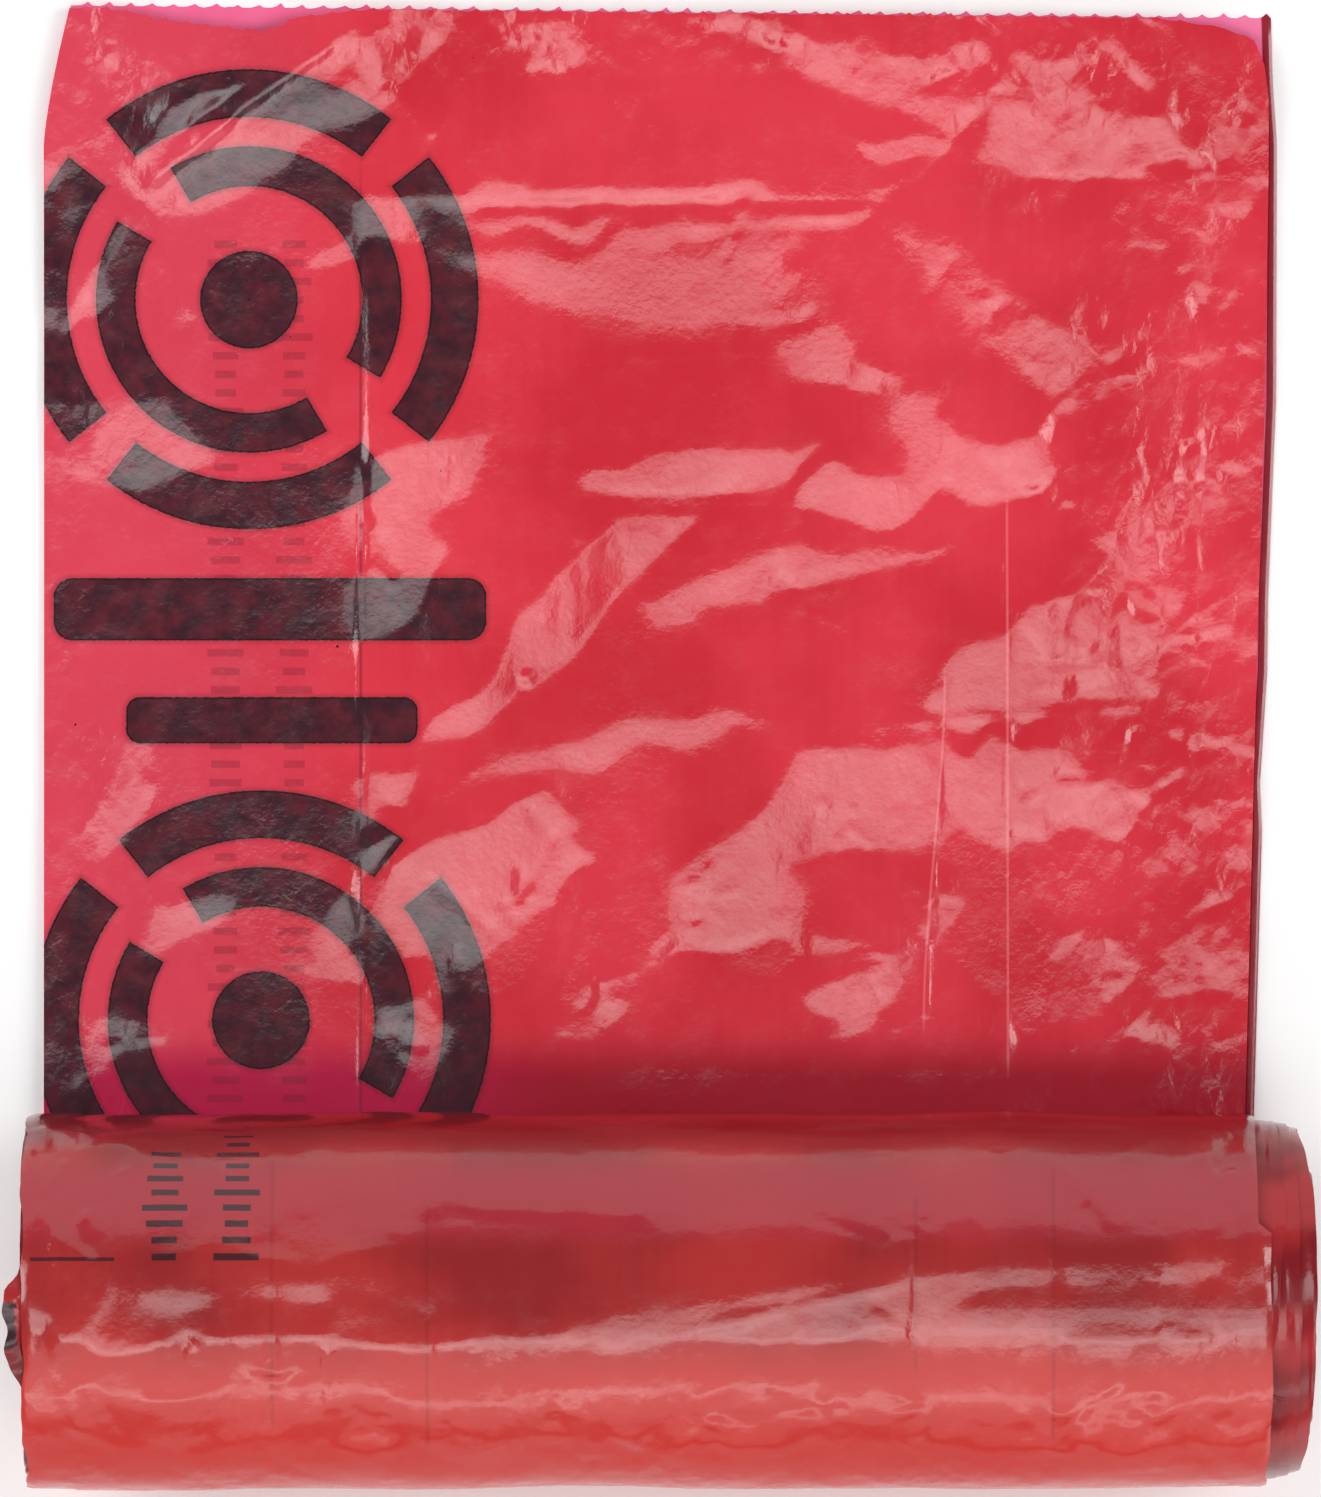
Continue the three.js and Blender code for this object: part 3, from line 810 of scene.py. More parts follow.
fineCreases = [  # start and end in the picture's pixels, height, width
    ((1000, 660), (1164, 668), -0.16, 1.2), ((1010, 696), (1194, 700), -0.14, 1.2),
    ((820, 728), (1192, 703), 0.22, 1.3), ((928, 858), (1010, 874), -0.4, 2.2),
    ((1010, 874), (1120, 926), -0.45, 2.2), ((1020, 884), (1150, 878), 0.2, 1.2),
    ((1050, 772), (1096, 780), -0.3, 1.6), ((1110, 746), (1166, 792), -0.25, 1.3),
    ((1166, 792), (1216, 690), 0.25, 1.3), ((1150, 800), (1200, 860), 0.25, 1.3),
    ((1150, 470), (1160, 640), 0.3, 1.5), ((1160, 640), (1236, 584), 0.3, 1.3),
    ((1070, 560), (1040, 620), 0.25, 1.3), ((420, 872), (512, 946), -0.2, 1.3),
    ((500, 936), (560, 826), -0.25, 1.4), ((470, 880), (500, 980), -0.12, 1.1),
    ((524, 804), (560, 846), -0.2, 1.2), ((440, 800), (480, 760), 0.3, 1.2),
    ((366, 560), (400, 590), 0.25, 1.2), ((790, 604), (850, 628), 0.22, 1.1),
    ((785, 604), (850, 584), 0.22, 1.1), ((770, 566), (758, 604), 0.22, 1.1),
    ((790, 604), (812, 560), 0.2, 1.1), ((640, 955), (800, 948), -0.3, 2.0),
    ((786, 840), (780, 920), -0.25, 1.3), ((810, 975), (890, 955), -0.3, 2.0),
    ((1000, 984), (1090, 1000), -0.2, 1.6), ((1060, 1012), (1240, 990), -0.3, 1.6),
    ((1130, 1044), (1160, 1002), -0.3, 1.4), ((1060, 1000), (1100, 1040), -0.2, 1.3),
    ((820, 520), (838, 460), -0.14, 1.1), ((940, 520), (950, 400), 0.2, 1.2),
    ((780, 540), (805, 520), -0.2, 1.5), ((600, 505), (800, 510), -0.25, 1.8),
    ((590, 496), (790, 494), -0.2, 1.2), ((430, 209), (905, 203), -0.35, 1.6),
    ((660, 230), (896, 211), 0.2, 1.2), ((902, 204), (997, 93), -0.3, 1.6),
    ((500, 362), (800, 350), 0.12, 1.1), ((600, 100), (680, 84), 0.2, 1.2),
    ((500, 90), (800, 70), -0.15, 1.6), ((905, 330), (960, 250), -0.2, 1.4),
    ((1040, 420), (1100, 370), 0.2, 1.2), ((1000, 180), (1160, 180), -0.35, 1.6),
    ((1160, 180), (1250, 170), 0.25, 1.3), ((395, 90), (430, 200), -0.2, 1.3),
    ((430, 190), (500, 130), 0.12, 1.1), ((360, 240), (395, 480), 0.15, 1.1),
    ((812, 240), (806, 318), 0.18, 1.2), ((1100, 40), (1160, 110), -0.5, 1.8),
    ((1210, 300), (1220, 330), 0.25, 1.1),
]
creaseStars = [  # short creases that meet: centre in the picture's pixels, reach, how many
    (1166, 640, 62, 9), (1160, 792, 55, 8), (800, 590, 40, 5), (520, 900, 45, 6), (935, 905, 40, 6),
    (1110, 1010, 60, 8), (1215, 480, 50, 7), (1225, 900, 45, 8), (1210, 1010, 45, 7), (1190, 160, 60, 8),
    (1215, 310, 45, 6), (560, 60, 50, 7), (770, 40, 40, 6), (960, 70, 50, 7), (1060, 60, 45, 6),
    (380, 540, 50, 6), (110, 60, 50, 7), (90, 330, 50, 6), (110, 880, 45, 5), (130, 1040, 45, 5),
    (400, 1040, 45, 5), (600, 980, 45, 6), (700, 900, 50, 6), (840, 820, 50, 5), (1060, 480, 40, 4),
    (1020, 560, 40, 3), (530, 690, 35, 6), (880, 1000, 45, 5), (1000, 300, 45, 4), (740, 220, 50, 4),
]
pressedLines = [  # thin lines pressed in by the winding: start, end, height
    ((78.4, 270), (78.8, 44), -0.55),
    ((223, 153), (218, 66), 0.4),
    ((238.5, 196), (239, 56), 0.35),
    ((12, 292), (11.5, 318), -0.4),
    ((286, 240), (283, 60), 0.3),
]


def onFilm(px, py):  # from the picture's pixels to millimetres across and along the film
    return ((px - picture["leftFold"]) / studio["pixelsPerMm"],
            (picture["middleRow"] - py) / studio["pixelsPerMm"] + picture["middleAlong"])


def depthInside(across, along, corners):  # distance to the outline, below zero outside it
    nearest = np.full(across.shape, 1e9)
    inside = np.zeros(across.shape, bool)
    for (ax, ay), (bx, by) in zip(corners, corners[1:] + corners[:1]):
        reach = (bx - ax) ** 2 + (by - ay) ** 2
        t = np.clip(((across - ax) * (bx - ax) + (along - ay) * (by - ay)) / reach, 0, 1)
        nearest = np.minimum(nearest, np.hypot(across - ax - t * (bx - ax), along - ay - t * (by - ay)))
        if ay != by:
            inside ^= ((ay > along) != (by > along)) & (across < (bx - ax) * (along - ay) / (by - ay) + ax)
    return np.where(inside, nearest, -nearest)


flanks = {
    "lit": 0.1,  # slope of a fully lit flank
    "shaded": 0.045,  # how far below the lit slopes the rest lies
    "uneven": 0.02,
    "aside": 0.14,  # how much the film resists being bent across
    "rimBend": 4.5,  # how ragged the rims of the flanks are, and the size of that raggedness
    "rimSize": 11,
    "middleAlong": 137,  # below the camera
    "lightHeight": 6000,
    "lightRim": 500,  # where the light overhead begins
}


# least-squares height for the slopes along, by cosine series
def heightFrom(slope, stepY, stepX, aside, hold=0.0):
    rows, columns = slope.shape
    push = np.diff(np.pad(slope[:-1] / 2 + slope[1:] / 2, ((1, 1), (0, 0))), axis=0) / stepY
    mirrored = np.block([[push, push[:, ::-1]], [push[::-1], push[::-1, ::-1]]])
    bendY = (2 - 2 * np.cos(2 * math.pi * np.fft.fftfreq(2 * rows)))[:, None] / stepY ** 2
    bendX = (2 - 2 * np.cos(2 * math.pi * np.fft.fftfreq(2 * columns)))[None, :] / stepX ** 2
    stiffness = bendY + aside * bendX + hold
    stiffness[0, 0] = 1
    spectrum = -np.fft.fft2(mirrored) / stiffness
    spectrum[0, 0] = 0
    return np.fft.ifft2(spectrum).real[:rows, :columns]


def flankRelief(across, along):  # the smoothest height whose slopes along the film give the lit flanks
    bentX = across + flanks["rimBend"] * crumple(across, along, 33, flanks["rimSize"])
    bentY = along + flanks["rimBend"] * crumple(across, along, 34, flanks["rimSize"])
    tilt = np.zeros(across.shape)
    for share, rim, corners in litFlanks.values():
        depth = depthInside(bentX, bentY, [onFilm(*corner) for corner in corners])
        tilt = np.maximum(tilt, share * smooth(0.5 + depth / rim / 2))
    ahead = along - flanks["middleAlong"]
    # least lit slope
    view = ahead / studio["cameraHeight"] / 2 + (ahead + flanks["lightRim"]) / flanks["lightHeight"] / 2
    slope = view + flanks["lit"] * tilt - flanks["shaded"] * (1 - smooth(tilt * 4))
    slope += flanks["uneven"] * swell(across, along, 35, 40, 90)
    balance = slope.mean(axis=0, keepdims=True)
    slope -= balance * (1 - smooth(tilt * 2)) / np.maximum((1 - smooth(tilt * 2)).mean(axis=0, keepdims=True),
        0.2)
    stepY = (along[-1] - along[0]).mean() / (len(along) - 1)
    stepX = (across[:, -1] - across[:, 0]).mean() / (across.shape[1] - 1)
    return heightFrom(slope, stepY, stepX, flanks["aside"])


def starRelief(across, along, stars, placed, seed, strength=1.0):
    chance = np.random.default_rng(seed)
    total = np.zeros(across.shape)
    for px, py, reach, count in stars:
        for _ in range(count):
            heading, far, near = chance.uniform(0, 2 * math.pi), chance.uniform(0.4,
                1) * reach, chance.uniform(-0.3, 0.3) * reach
            start = placed(px + near * math.cos(heading), py + near * math.sin(heading))
            end = placed(px + far * math.cos(heading), py + far * math.sin(heading))
            width = chance.uniform(0.9, 1.4)
            total += fold(across, along, start, end,
                strength * chance.choice((-1, 1)) * chance.uniform(0.15, 0.32), width, width, 0.25)
    return total


def moreAtRight(across, along):
    return 0.3 + 0.7 * smooth((across - 200) / 70)


frontFacets = [  # seed, spacing, height, least share of it away from the creased edges, density
    (41, 21, 0.5, 0.15, moreAtRight),
    (43, 9, 0.4, 0.16, None),
    (47, 4.5, 0.17, 0.2, None),
]


def makeFrontPanel():  # the creased plies on top
    columns, rows = 281, 281
    across = np.linspace(outline["pullIn"] + 0.5, 303.4, columns)
    dip = np.interp(across, [a for a, _ in frontDip], [b for _, b in frontDip])
    edge = freeEdge(across) - dip - 0.25 + tornTeeth(columns, 8, 0.8)
    x, y = plyGrid(frontRightEdge, edge, rows, columns, outline["startAlong"])
    right = np.interp(y, [a for a, _ in frontRightEdge], [b for _, b in frontRightEdge])
    left = leftEdge(y)
    wild = smooth((x - 215) / 60) + 0.9 * smooth((y - 286) / 24) + 0.5 * smooth((40 - x) / 40)
    height = flankRelief(x, y)
    for seed, spacing, tall, least, density in frontFacets:
        height += tall * crumple(x, y, seed, spacing, density) * np.clip(wild, least, 1)
    for start, end, tall, nearWidth, farWidth in creases:
        height += fold(x, y, start, end, tall, nearWidth, farWidth)
    for start, end, tall, width in fineCreases:
        height += fold(x, y, onFilm(*start), onFilm(*end), tall, width, width, 0.2)
    height += starRelief(x, y, creaseStars, onFilm, 53)
    for start, end, tall in pressedLines:
        height += fold(x, y, start, end, tall, 0.9, 0.9, 0.05)
    height = height - np.percentile(height, 2)
    fromSide = np.minimum(x - left, right - x)
    height = 1.0 + np.clip(height, 0, 6) * (0.7 + 0.3 * smooth(fromSide / 40))
    underRoll = axisZ - ovality * np.sqrt(np.clip(halfRoll ** 2 - y ** 2, 0, None))
    height = np.where(y < halfRoll, np.minimum(height, np.maximum(underRoll - 0.3, 0.62)), height)
    top = np.stack([leftX + x, axisY + y, height], -1)
    under = top.copy()
    under[..., 2] = np.minimum(np.maximum(lowestAround(height, 4) - 0.3, 0.5), height - 0.1)
    piece = closedSkin("lead_bag_front_plies", top, under, frontFilm, np.stack([x, y], -1))
    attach(piece, "root")
    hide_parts("lead_bag")


makeRearPanel()
makeFrontPanel()
print("the drawn-out bag is laid")


# First bag, around the roll

wrap = {
    "ply": 0.5,
    "stepPerTurn": 1.1,
    "endTurn": 345.0,
    "rows": 221,
    "columns": 241,
    "facets": (0.16, 0.1),  # heights of the broad and the small facets
    "nearFacets": 0.22,
    "endFacets": 0.22,
}
rollCreases = [  # across, from and to turn in degrees, height, width
    (58.6, 140, 232, -0.5, 1.2),
    (96.2, 132, 212, -0.45, 1.2),
    (214.6, 160, 215, -0.5, 1.2),
    (248.0, 135, 227, -0.5, 1.2),
    (72.0, 145, 168, 0.5, 1.2),
    (46.0, 120, 165, 0.3, 1.2),
]
onRollPicture = {"axisRow": 1299, "radius": 187}  # the roll in the picture's pixels
# flanks on the roll: tip towards the front in degrees, softness of the rim, corners in the picture's pixels
rollFlanks = {
    "wedge": (5, 2.0, ((690, 1302), (820, 1277), (950, 1260), (1050, 1247), (1150, 1237), (1256, 1234),
        (1256, 1306), (900, 1306))),
    "dark left": (-6, 1.0, ((60, 1288), (640, 1290), (660, 1304), (560, 1318), (440, 1340), (330, 1320),
        (230, 1332), (140, 1348), (60, 1336))),
    "veil left": (-29, 2.0, ((150, 1212), (380, 1210), (436, 1218), (400, 1242), (350, 1262), (300, 1262),
        (250, 1252), (160, 1262))),
    "veil middle": (-20, 2.0, ((440, 1190), (480, 1200), (560, 1206), (640, 1208), (640, 1222), (440, 1222))),
    "pocket high": (-38, 0.8, ((62, 1150), (130, 1140), (170, 1180), (140, 1215), (90, 1205))),
    "pocket low": (-30, 0.8, ((70, 1218), (140, 1222), (128, 1262), (84, 1262))),
    "gleam a": (29, 1.5, ((204, 1446), (236, 1420), (300, 1404), (306, 1420), (252, 1440))),
    "gleam b": (8, 1.2, ((158, 1384), (170, 1345), (206, 1325), (226, 1330), (204, 1352), (222, 1380))),
    "gleam c": (29, 1.0, ((48, 1408), (58, 1346), (70, 1350), (78, 1400))),
    "gleam d": (29, 1.0, ((262, 1345), (284, 1372), (276, 1382), (256, 1360))),
    "gleam e": (29, 1.0, ((322, 1404), (334, 1338), (346, 1340), (340, 1400))),
    "gleam f": (29, 1.2, ((340, 1440), (372, 1410), (400, 1430), (384, 1450))),
    "gleam g": (29, 1.2, ((672, 1440), (684, 1390), (708, 1384), (740, 1410), (782, 1416), (776, 1440),
        (730, 1436), (706, 1424))),
    "gleam h": (29, 1.2, ((800, 1430), (812, 1384), (836, 1376), (830, 1410))),
    "gleam i": (29, 1.2, ((908, 1436), (918, 1380), (950, 1372), (974, 1384), (958, 1412), (934, 1440))),
    "gleam j": (29, 1.2, ((968, 1440), (984, 1422), (1040, 1424), (1036, 1442))),
    "gleam k": (29, 1.2, ((1050, 1404), (1056, 1366), (1080, 1362), (1112, 1372), (1090, 1400),
        (1074, 1430))),
    "gleam l": (29, 1.2, ((1086, 1436), (1104, 1398), (1130, 1394), (1146, 1410), (1170, 1436),
        (1130, 1440))),
    "gleam m": (29, 1.2, ((1196, 1440), (1206, 1410), (1250, 1406), (1252, 1436))),
    "shade a": (-54, 1.0, ((884, 1234), (896, 1198), (908, 1176), (914, 1200), (906, 1236))),
    "shade b": (-54, 1.0, ((960, 1172), (972, 1176), (974, 1204), (964, 1196))),
    "shade c": (-14, 1.0, ((1044, 1164), (1062, 1184), (1086, 1212), (1070, 1212), (1046, 1190))),
    "shade d": (-14, 1.0, ((1110, 1150), (1126, 1162), (1128, 1192), (1116, 1180))),
    "shade e": (-14, 1.0, ((1176, 1144), (1196, 1168), (1204, 1192), (1186, 1180))),
}
rollLines = [  # long pressed lines, start and end in the picture's pixels, height, width
    ((640, 1333), (900, 1336), 0.22, 1.2), ((900, 1336), (1250, 1330), 0.22, 1.2),
    ((640, 1336), (936, 1266), 0.25, 1.4), ((860, 1290), (930, 1332), -0.25, 1.2),
    ((790, 1205), (930, 1255), -0.3, 1.6), ((1010, 1400), (1060, 1450), 0.3, 1.2),
    ((56, 1150), (70, 1262), 0.3, 1.3), ((70, 1200), (110, 1150), 0.3, 1.2),
    ((110, 1216), (128, 1262), 0.3, 1.2), ((128, 1150), (180, 1200), 0.25, 1.3),
    ((60, 1128), (90, 1190), -0.3, 1.4), ((145, 1440), (80, 1340), -0.3, 1.8),
    ((30, 1180), (34, 1480), -0.4, 1.0), ((1258, 1222), (1262, 1480), -0.45, 0.9),
    ((1248, 1120), (1262, 1480), -0.3, 0.8), ((32, 1140), (56, 1194), 0.7, 1.1),
    ((56, 1194), (82, 1152), 0.7, 1.1), ((82, 1152), (112, 1144), 0.5, 1.0),
    ((52, 1196), (82, 1258), 0.7, 1.1), ((68, 1226), (112, 1262), 0.6, 1.0),
    ((68, 1226), (122, 1198), 0.6, 1.0), ((108, 1190), (141, 1160), 0.6, 1.0),
    ((141, 1160), (126, 1214), 0.5, 1.0), ((104, 1186), (84, 1226), -0.4, 1.0),
    ((1200, 1150), (1236, 1262), -0.35, 1.5), ((1240, 1140), (1210, 1210), 0.35, 1.3),
    ((72, 1350), (98, 1440), 0.5, 1.1), ((88, 1345), (122, 1425), 0.4, 1.1),
    ((60, 1300), (130, 1400), 0.3, 1.3), ((332, 1330), (342, 1410), 0.5, 1.1),
    ((400, 1225), (396, 1262), -0.4, 1.2), ((1046, 1160), (1050, 1420), -0.3, 1.0),
    ((916, 1300), (920, 1440), 0.3, 1.1),
]
rollStars = [  # short creases that meet: centre in the picture's pixels, reach, how many
    (380, 1425, 40, 7), (290, 1365, 35, 6), (190, 1350, 40, 6), (80, 1380, 35, 5), (95, 1200, 55, 9),
    (700, 1412, 50, 8), (820, 1400, 45, 6), (925, 1400, 50, 8), (1080, 1400, 55, 9), (1050, 1440, 40, 7),
    (1150, 1410, 45, 8), (1225, 1420, 40, 7), (1210, 1175, 55, 7), (1080, 1190, 50, 5), (900, 1205, 40, 5),
    (1140, 1280, 40, 4), (560, 1400, 50, 5), (470, 1430, 45, 5), (1230, 1300, 45, 6), (640, 1440, 40, 5),
]


def onRoll(px, py):  # from the picture's pixels to millimetres across the film and around the roll
    turn = math.pi + math.asin(max(-0.999, min(0.999,
        (onRollPicture["axisRow"] - py) / onRollPicture["radius"])))
    return (px - picture["leftFold"]) / studio["pixelsPerMm"], turn * halfRoll


def rollRelief(across, along):  # the least-squares height whose slopes around the roll give the flanks
    bentX = across + 3 * crumple(across, along, 76, 9)
    bentY = along + 3 * crumple(across, along, 77, 9)
    tip = 180 - np.degrees(along / halfRoll)
    slope = 0.06 * swell(across, along, 78, 45, 110)
    for want, rim, corners in rollFlanks.values():
        depth = depthInside(bentX, bentY, [onRoll(*corner) for corner in corners])
        offset = np.tan(np.radians(np.clip(want - tip, -16, 16)))
        slope += (offset - slope) * smooth(0.5 + depth / rim / 2)
    stepY = (along[-1] - along[0]).mean() / (len(along) - 1)
    stepX = (across[:, -1] - across[:, 0]).mean() / (across.shape[1] - 1)
    return heightFrom(slope, stepY, stepX, 0.25, 1 / 16 ** 2)


def rollPoint(across, turn, radius):  # turn in radians, from the floor, up the near side
    return np.stack([leftX + across, axisY - radius * np.sin(turn), axisZ - radius * ovality * np.cos(turn)],
        -1)


def makeWrap():
    rows, columns = wrap["rows"], wrap["columns"]
    turn = np.radians(np.linspace(0, wrap["endTurn"], rows))[:, None] * np.ones((1, columns))
    share = np.linspace(0, 1, columns)[None, :] * np.ones((rows, 1))
    degrees = np.degrees(turn)
    along = turn * halfRoll  # measured around the roll
    leftCut = (0.4 * swell(along, along * 0, 61, 9, 40) - 2.0) * smooth((degrees - 20) / 30)
    rightCut = 0.3 * swell(along, along * 0, 62, 12, 60) - 1.4 + 3.2 * smooth((206 - degrees) / 4)
    x = leftCut + share * (wrapWidth + rightCut - leftCut)
    relief = rollRelief(x, along) + 0.3 * swell(x, along, 71, 60, 130)
    relief += wrap["facets"][0] * crumple(x, along, 73, 16) + wrap["facets"][1] * crumple(x, along, 72, 6)
    nearSide = smooth((188 - degrees) / 15) * smooth((degrees - 100) / 15)
    relief += wrap["nearFacets"] * crumple(x, along, 74, 9) * nearSide
    relief += wrap["endFacets"] * crumple(x, along, 75, 8) * (smooth((40 - x) / 35) + smooth((x - 262) / 30))
    for start, end, tall, width in rollLines:
        relief += fold(x, along, onRoll(*start), onRoll(*end), tall, width, width, 0.2)
    relief += starRelief(x, along, rollStars, onRoll, 79, 1.5)
    for across, low, high, tall, width in rollCreases:
        start, end = (across, math.radians(low) * halfRoll), (across + 0.6, math.radians(high) * halfRoll)
        relief += fold(x, along, start, end, tall, width, width, 0.1)
    relief = np.maximum(relief - np.percentile(relief, 8), -0.3) * smooth((degrees - 12) / 40)
    radius = halfRoll - wrap["stepPerTurn"] * turn / (2 * math.pi)
    nearEdge = np.minimum(share, 1 - share) * wrapWidth
    rolled = 0.35 * (1 - smooth(nearEdge / 1.2))
    top = rollPoint(x, turn, radius + relief - rolled)
    top[..., 2] = np.maximum(top[..., 2], 0.05)
    under = rollPoint(x, turn, np.minimum(radius + relief - wrap["ply"], radius - wrap["ply"] * 0.6))
    under[..., 2] = np.maximum(under[..., 2], top[..., 2].min() + 0.02)
    piece = closedSkin("lead_bag_wrap", top, under, wrapFilm, np.stack([x, along], -1))
    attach(piece, "root")
    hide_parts("lead_bag")


makeWrap()
print("the first bag goes around the roll")


# The wound bags: one spiral of film

wound = {
    "Turns": 58,
    "Bore Radius": 10.0,
    "Steps": 72,
    "Gap": 0.1,  # between one group of turns and the next
    "Left Overhang": 3.0,
    "Left Recess": 4.3,
    "Right Overhang": 7.4,
    "Right Bulge": 5.9,
    "Wander": 0.9,  # how unevenly the edges lie
    "Ovality": ovality,
}


def makeSpiralTree():
    tree = bpy.data.node_groups.new("wound film", "GeometryNodeTree")
    sizes = list(wound) + ["Outer Radius", "Width"]
    for label in sizes:
        kind = "NodeSocketInt" if label == "Steps" else "NodeSocketFloat"
        tree.interface.new_socket(label, in_out="INPUT", socket_type=kind)
    tree.interface.new_socket("Film", in_out="INPUT", socket_type="NodeSocketMaterial")
    tree.interface.new_socket("Geometry", in_out="OUTPUT", socket_type="NodeSocketGeometry")
    given = tree.nodes.new("NodeGroupInput").outputs
    result = tree.nodes.new("NodeGroupOutput").inputs

    def node(kind, **inputs):
        made = tree.nodes.new(kind)
        for label, value in inputs.items():
            wire(tree, made.inputs[label.replace("_", " ")], value)
        return made

    band = ratio(tree, minus(tree, given["Outer Radius"], given["Bore Radius"]), given["Turns"])
    thick = minus(tree, band, given["Gap"])
    halfThick = times(tree, thick, 0.5)
    spiral = node("GeometryNodeCurveSpiral", Resolution=given["Steps"], Rotations=given["Turns"],
                  Start_Radius=plus(tree, given["Bore Radius"], halfThick),
                  End_Radius=minus(tree, given["Outer Radius"], halfThick), Height=0.0)
    section = node("GeometryNodeCurvePrimitiveQuadrilateral", Width=thick, Height=given["Width"])
    alongSpiral = node("GeometryNodeSplineParameter")
    captured = tree.nodes.new("GeometryNodeCaptureAttribute")
    captured.domain = "POINT"
    captured.capture_items.new("FLOAT", "Share")
    wire(tree, captured.inputs["Geometry"], spiral.outputs[0])
    wire(tree, captured.inputs["Share"], alongSpiral.outputs["Factor"])
    swept = node("GeometryNodeCurveToMesh", Curve=captured.outputs["Geometry"],
        Profile_Curve=section.outputs[0])
    swept.inputs["Fill Caps"].default_value = True
    spot = node("GeometryNodeInputPosition")
    parts = split(tree, spot.outputs[0])
    isRight = calc(tree, "GREATER_THAN", parts[2], 0.0)
    radius = calc(tree, "SQRT", plus(tree, times(tree, parts[0], parts[0]),
                                     times(tree, parts[1], parts[1])))
    inward = ratio(tree, minus(tree, radius, given["Bore Radius"]),
                  minus(tree, given["Outer Radius"], given["Bore Radius"]), clamp=True)
    slide = minus(tree, 1.0, calc(tree, "POWER", inward, 5.0))
    turned = times(tree, captured.outputs["Share"], given["Turns"])
    rightEnd = plus(tree, given["Right Overhang"], times(tree, given["Right Bulge"], slide))
    leftEnd = minus(tree, times(tree, given["Left Recess"], slide), given["Left Overhang"])
    unevenRight = tree.nodes.new("ShaderNodeTexNoise")
    unevenRight.noise_dimensions = "1D"
    wire(tree, unevenRight.inputs["W"], times(tree, turned, 2.7))
    unevenLeft = tree.nodes.new("ShaderNodeTexNoise")
    unevenLeft.noise_dimensions = "1D"
    wire(tree, unevenLeft.inputs["W"], plus(tree, times(tree, turned, 2.3), 91.0))
    for uneven in (unevenRight, unevenLeft):
        uneven.inputs["Scale"].default_value = 1.0
        uneven.inputs["Detail"].default_value = 5.0
        uneven.inputs["Roughness"].default_value = 0.7
    wanderRight = times(tree, minus(tree, unevenRight.outputs[0], 0.62), times(tree, given["Wander"], 3.0))
    wanderLeft = times(tree, minus(tree, unevenLeft.outputs[0], 0.38), times(tree, given["Wander"], 3.0))
    rightShift = times(tree, isRight, plus(tree, rightEnd, wanderRight))
    leftShift = times(tree, minus(tree, 1.0, isRight), plus(tree, leftEnd, wanderLeft))
    shifted = plus(tree, parts[2], plus(tree, rightShift, leftShift))
    onAxis = tree.nodes.new("ShaderNodeCombineXYZ")  # the spiral's axis becomes X
    wire(tree, onAxis.inputs["X"], shifted)
    wire(tree, onAxis.inputs["Y"], parts[1])
    wire(tree, onAxis.inputs["Z"], times(tree, parts[0], given["Ovality"]))
    laid = node("GeometryNodeSetPosition", Geometry=swept.outputs[0], Position=onAxis.outputs[0])
    outward = node("GeometryNodeFlipFaces", Mesh=laid.outputs[0])
    real = node("GeometryNodeRealizeInstances", Geometry=outward.outputs[0])
    coated = node("GeometryNodeSetMaterial", Geometry=real.outputs[0], Material=given["Film"])
    wire(tree, result["Geometry"], coated.outputs[0])
    return tree


def plainMeshFrom(tree, name, sizes, coat):
    carrier = bpy.data.objects.new(name, bpy.data.meshes.new(name))
    bpy.context.collection.objects.link(carrier)
    modifier = carrier.modifiers.new("shape", "NODES")
    modifier.node_group = tree
    for item in tree.interface.items_tree:
        if item.in_out == "INPUT":
            modifier[item.identifier] = coat if item.name == "Film" else sizes[item.name]
    evaluated = carrier.evaluated_get(bpy.context.evaluated_depsgraph_get())
    mesh = bpy.data.meshes.new_from_object(evaluated)
    carrier.modifiers.clear()
    carrier.data = mesh
    mesh.name = name
    return carrier


def makeWoundTurns():
    sizes = dict(wound)
    sizes["Outer Radius"] = coreRadius - 1.0
    sizes["Width"] = wrapWidth
    piece = plainMeshFrom(makeSpiralTree(), "wound_turns", sizes, woundFilm)
    mesh = piece.data
    points = np.empty(len(mesh.vertices) * 3, np.float32)
    mesh.vertices.foreach_get("co", points)
    points = points.reshape(-1, 3)
    points += (leftX + wrapWidth / 2, axisY, axisZ)
    mesh.vertices.foreach_set("co", (points * mm).ravel())
    loops = np.empty(len(mesh.loops), int)
    mesh.loops.foreach_get("vertex_index", loops)
    around = np.arctan2(points[:, 1] - axisY, points[:, 2] - axisZ) * coreRadius
    across = points[:, 0] - leftX
    spots = np.stack([across, around], -1)[loops] * mm
    layer = mesh.uv_layers.new(name="film")
    layer.data.foreach_set("uv", spots.astype(np.float32).ravel())
    mesh.shade_smooth()
    mesh.set_sharp_from_angle(angle=math.radians(40))
    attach(piece, "root")
    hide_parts("wound_bags")


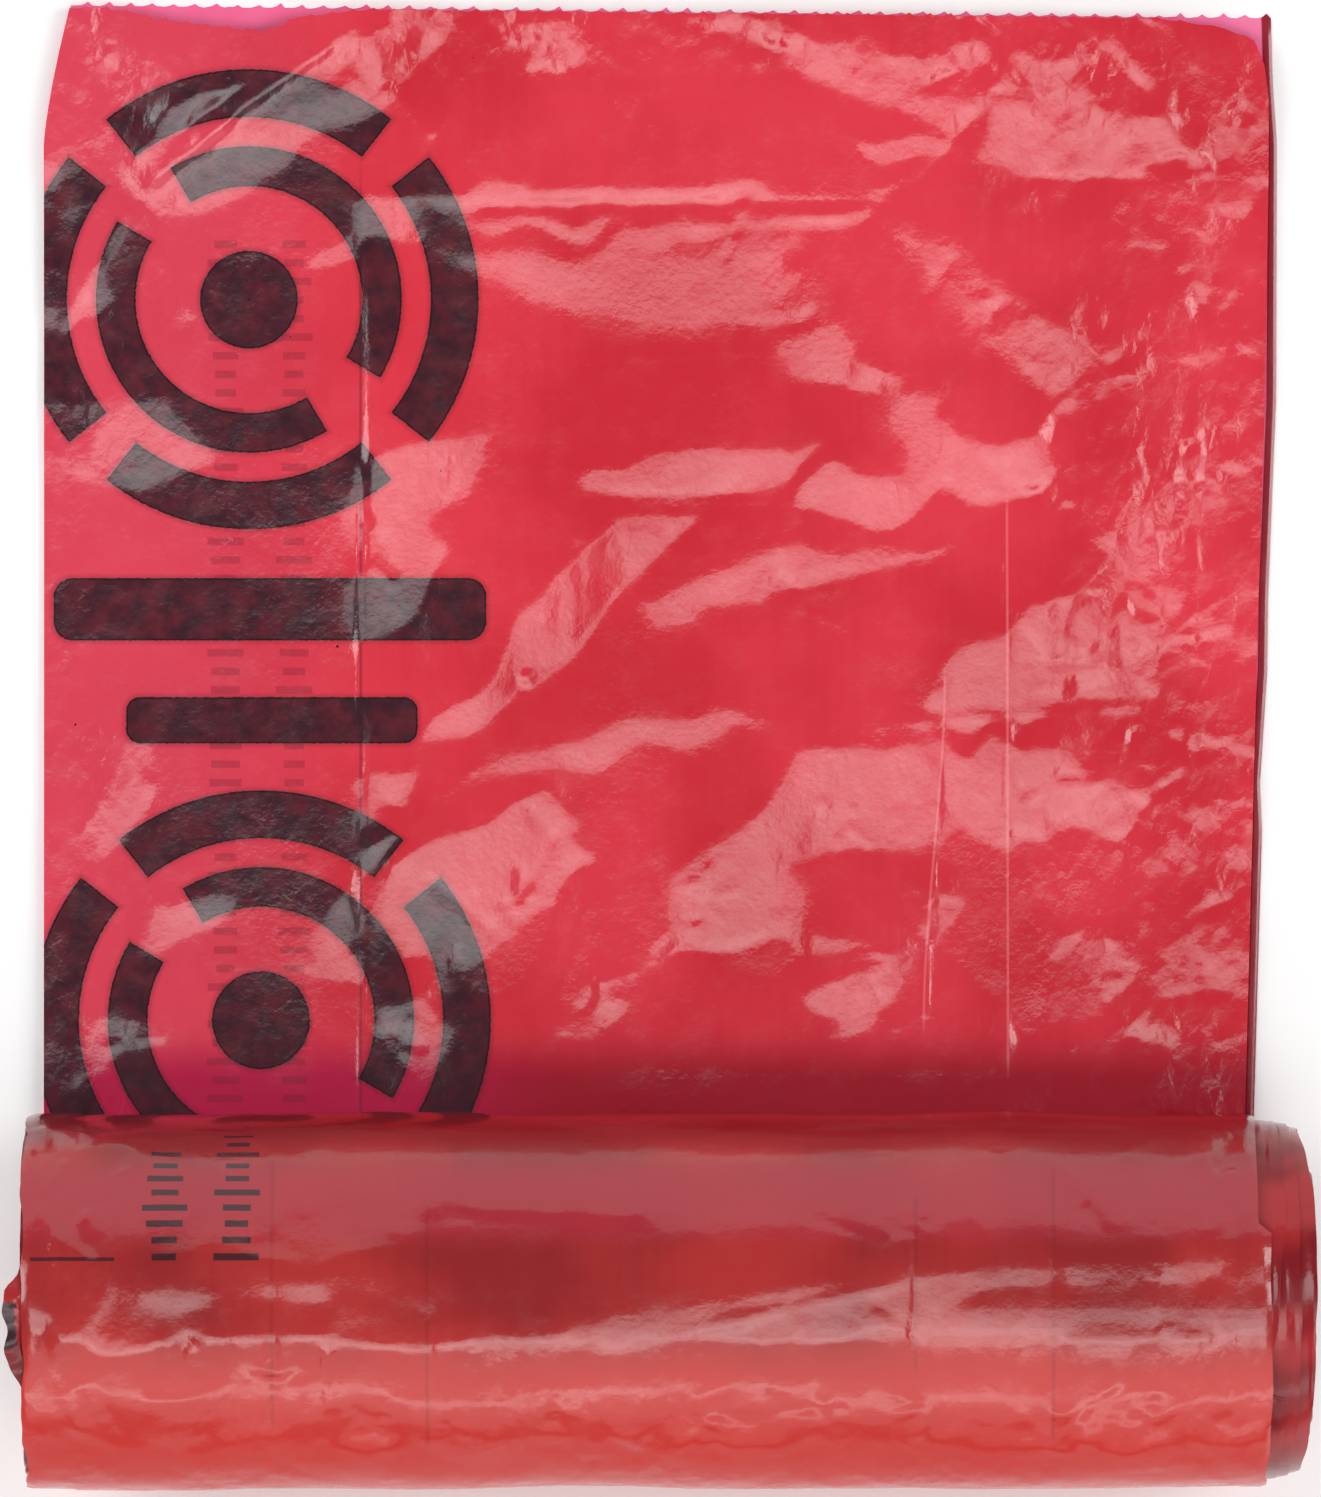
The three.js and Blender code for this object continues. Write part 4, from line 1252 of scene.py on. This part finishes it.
# plies whose edges show past the first bag's: radius, right reach, how far the edge turns in, seed
outerTurns = {
    "wound_outer_turn": (coreRadius + 0.28, 5.4, 0.3, 81),
    "wound_second_turn": (coreRadius - 0.1, 8.8, 0.5, 82),
    "wound_third_turn": (coreRadius - 0.5, 12.6, 1.3, 83),
}
flap = {"fromTurn": 150.0, "toTurn": 192.0, "reach": 5.2}  # the crumpled bit at the left end
notch = {"fromTurn": 149.0, "toTurn": 206.0, "depth": 4.6}  # where the outer turn's right edge is pulled in
turnRows, turnColumns = 217, (16, 16, 32)


def makeOuterTurn(name, radius, reach, turnIn, seed):
    turn = np.radians(np.linspace(2, 358, turnRows))[:, None] * np.ones((1, sum(turnColumns) + 1))
    degrees = np.degrees(turn)
    along = turn * radius
    first = name == "wound_outer_turn"
    leftCut = -1.9 + 0.4 * swell(along, along * 0, seed, 8, 30)
    sideways = np.abs(np.cos(turn + math.pi / 2)) ** 4  # the edges lie further in along the sides
    rightCut = wrapWidth + reach - reach * 0.25 * sideways + 0.25 * swell(along, along * 0, seed + 20, 12, 50)
    if first:
        bulge = smooth((degrees - flap["fromTurn"]) / 14) * smooth((flap["toTurn"] - degrees) / 10)
        leftCut = leftCut - flap["reach"] * bulge * (0.75 + 0.25 * swell(along, along * 0, 5, 4, 10))
        pulled = np.clip((notch["toTurn"] - degrees) / (notch["toTurn"] - notch["fromTurn"]), 0, 1)
        rightCut = rightCut - notch["depth"] * pulled * (degrees > notch["fromTurn"])
    stops = np.concatenate([np.linspace(0, 0.06, turnColumns[0] + 1)[:-1],
        np.linspace(0.06, 0.945, turnColumns[1] + 1)[:-1],
                            np.linspace(0.945, 1, turnColumns[2] + 1)])[None, :]
    x = leftCut + stops * (rightCut - leftCut)
    atRight = smooth((x - wrapWidth + 3) / 4)
    atEnds = smooth((2 - x) / 6) + 0.3 * atRight
    relief = (0.15 * crumple(x, along, seed + 1, 6) + 0.2 * swell(x, along, seed + 2, 12, 30)) * atEnds
    chance = np.random.default_rng(seed + 3)
    for _ in range(16):  # ribs where the film is drawn around the roll
        at, lean, low = wrapWidth + chance.uniform(-1, reach), chance.uniform(-1.5, 1.5), chance.uniform(0.3,
            5) * halfRoll
        start, end = (at, low), (at + lean, low + chance.uniform(30, 110))
        relief += fold(x, along, start, end, chance.choice((-1, 1)) * chance.uniform(0.1, 0.25), 0.5, 0.5,
            0.2)
    relief -= turnIn * np.clip((x - wrapWidth) / (rightCut - wrapWidth), 0, 1) ** 2
    if first:
        relief += 1.6 * bulge * smooth(-x / 3) * (0.4 + crumple(x, along, seed + 4, 5))
    top = rollPoint(x, turn, radius + relief)
    under = rollPoint(x, turn, radius + relief - 0.22)
    piece = closedSkin(name, top, under, woundFilm, np.stack([x, along], -1))
    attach(piece, "root")
    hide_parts("wound_bags")


for name, (radius, reach, turnIn, seed) in outerTurns.items():
    makeOuterTurn(name, radius, reach, turnIn, seed)
makeWoundTurns()
print("the rest of the bags are wound")
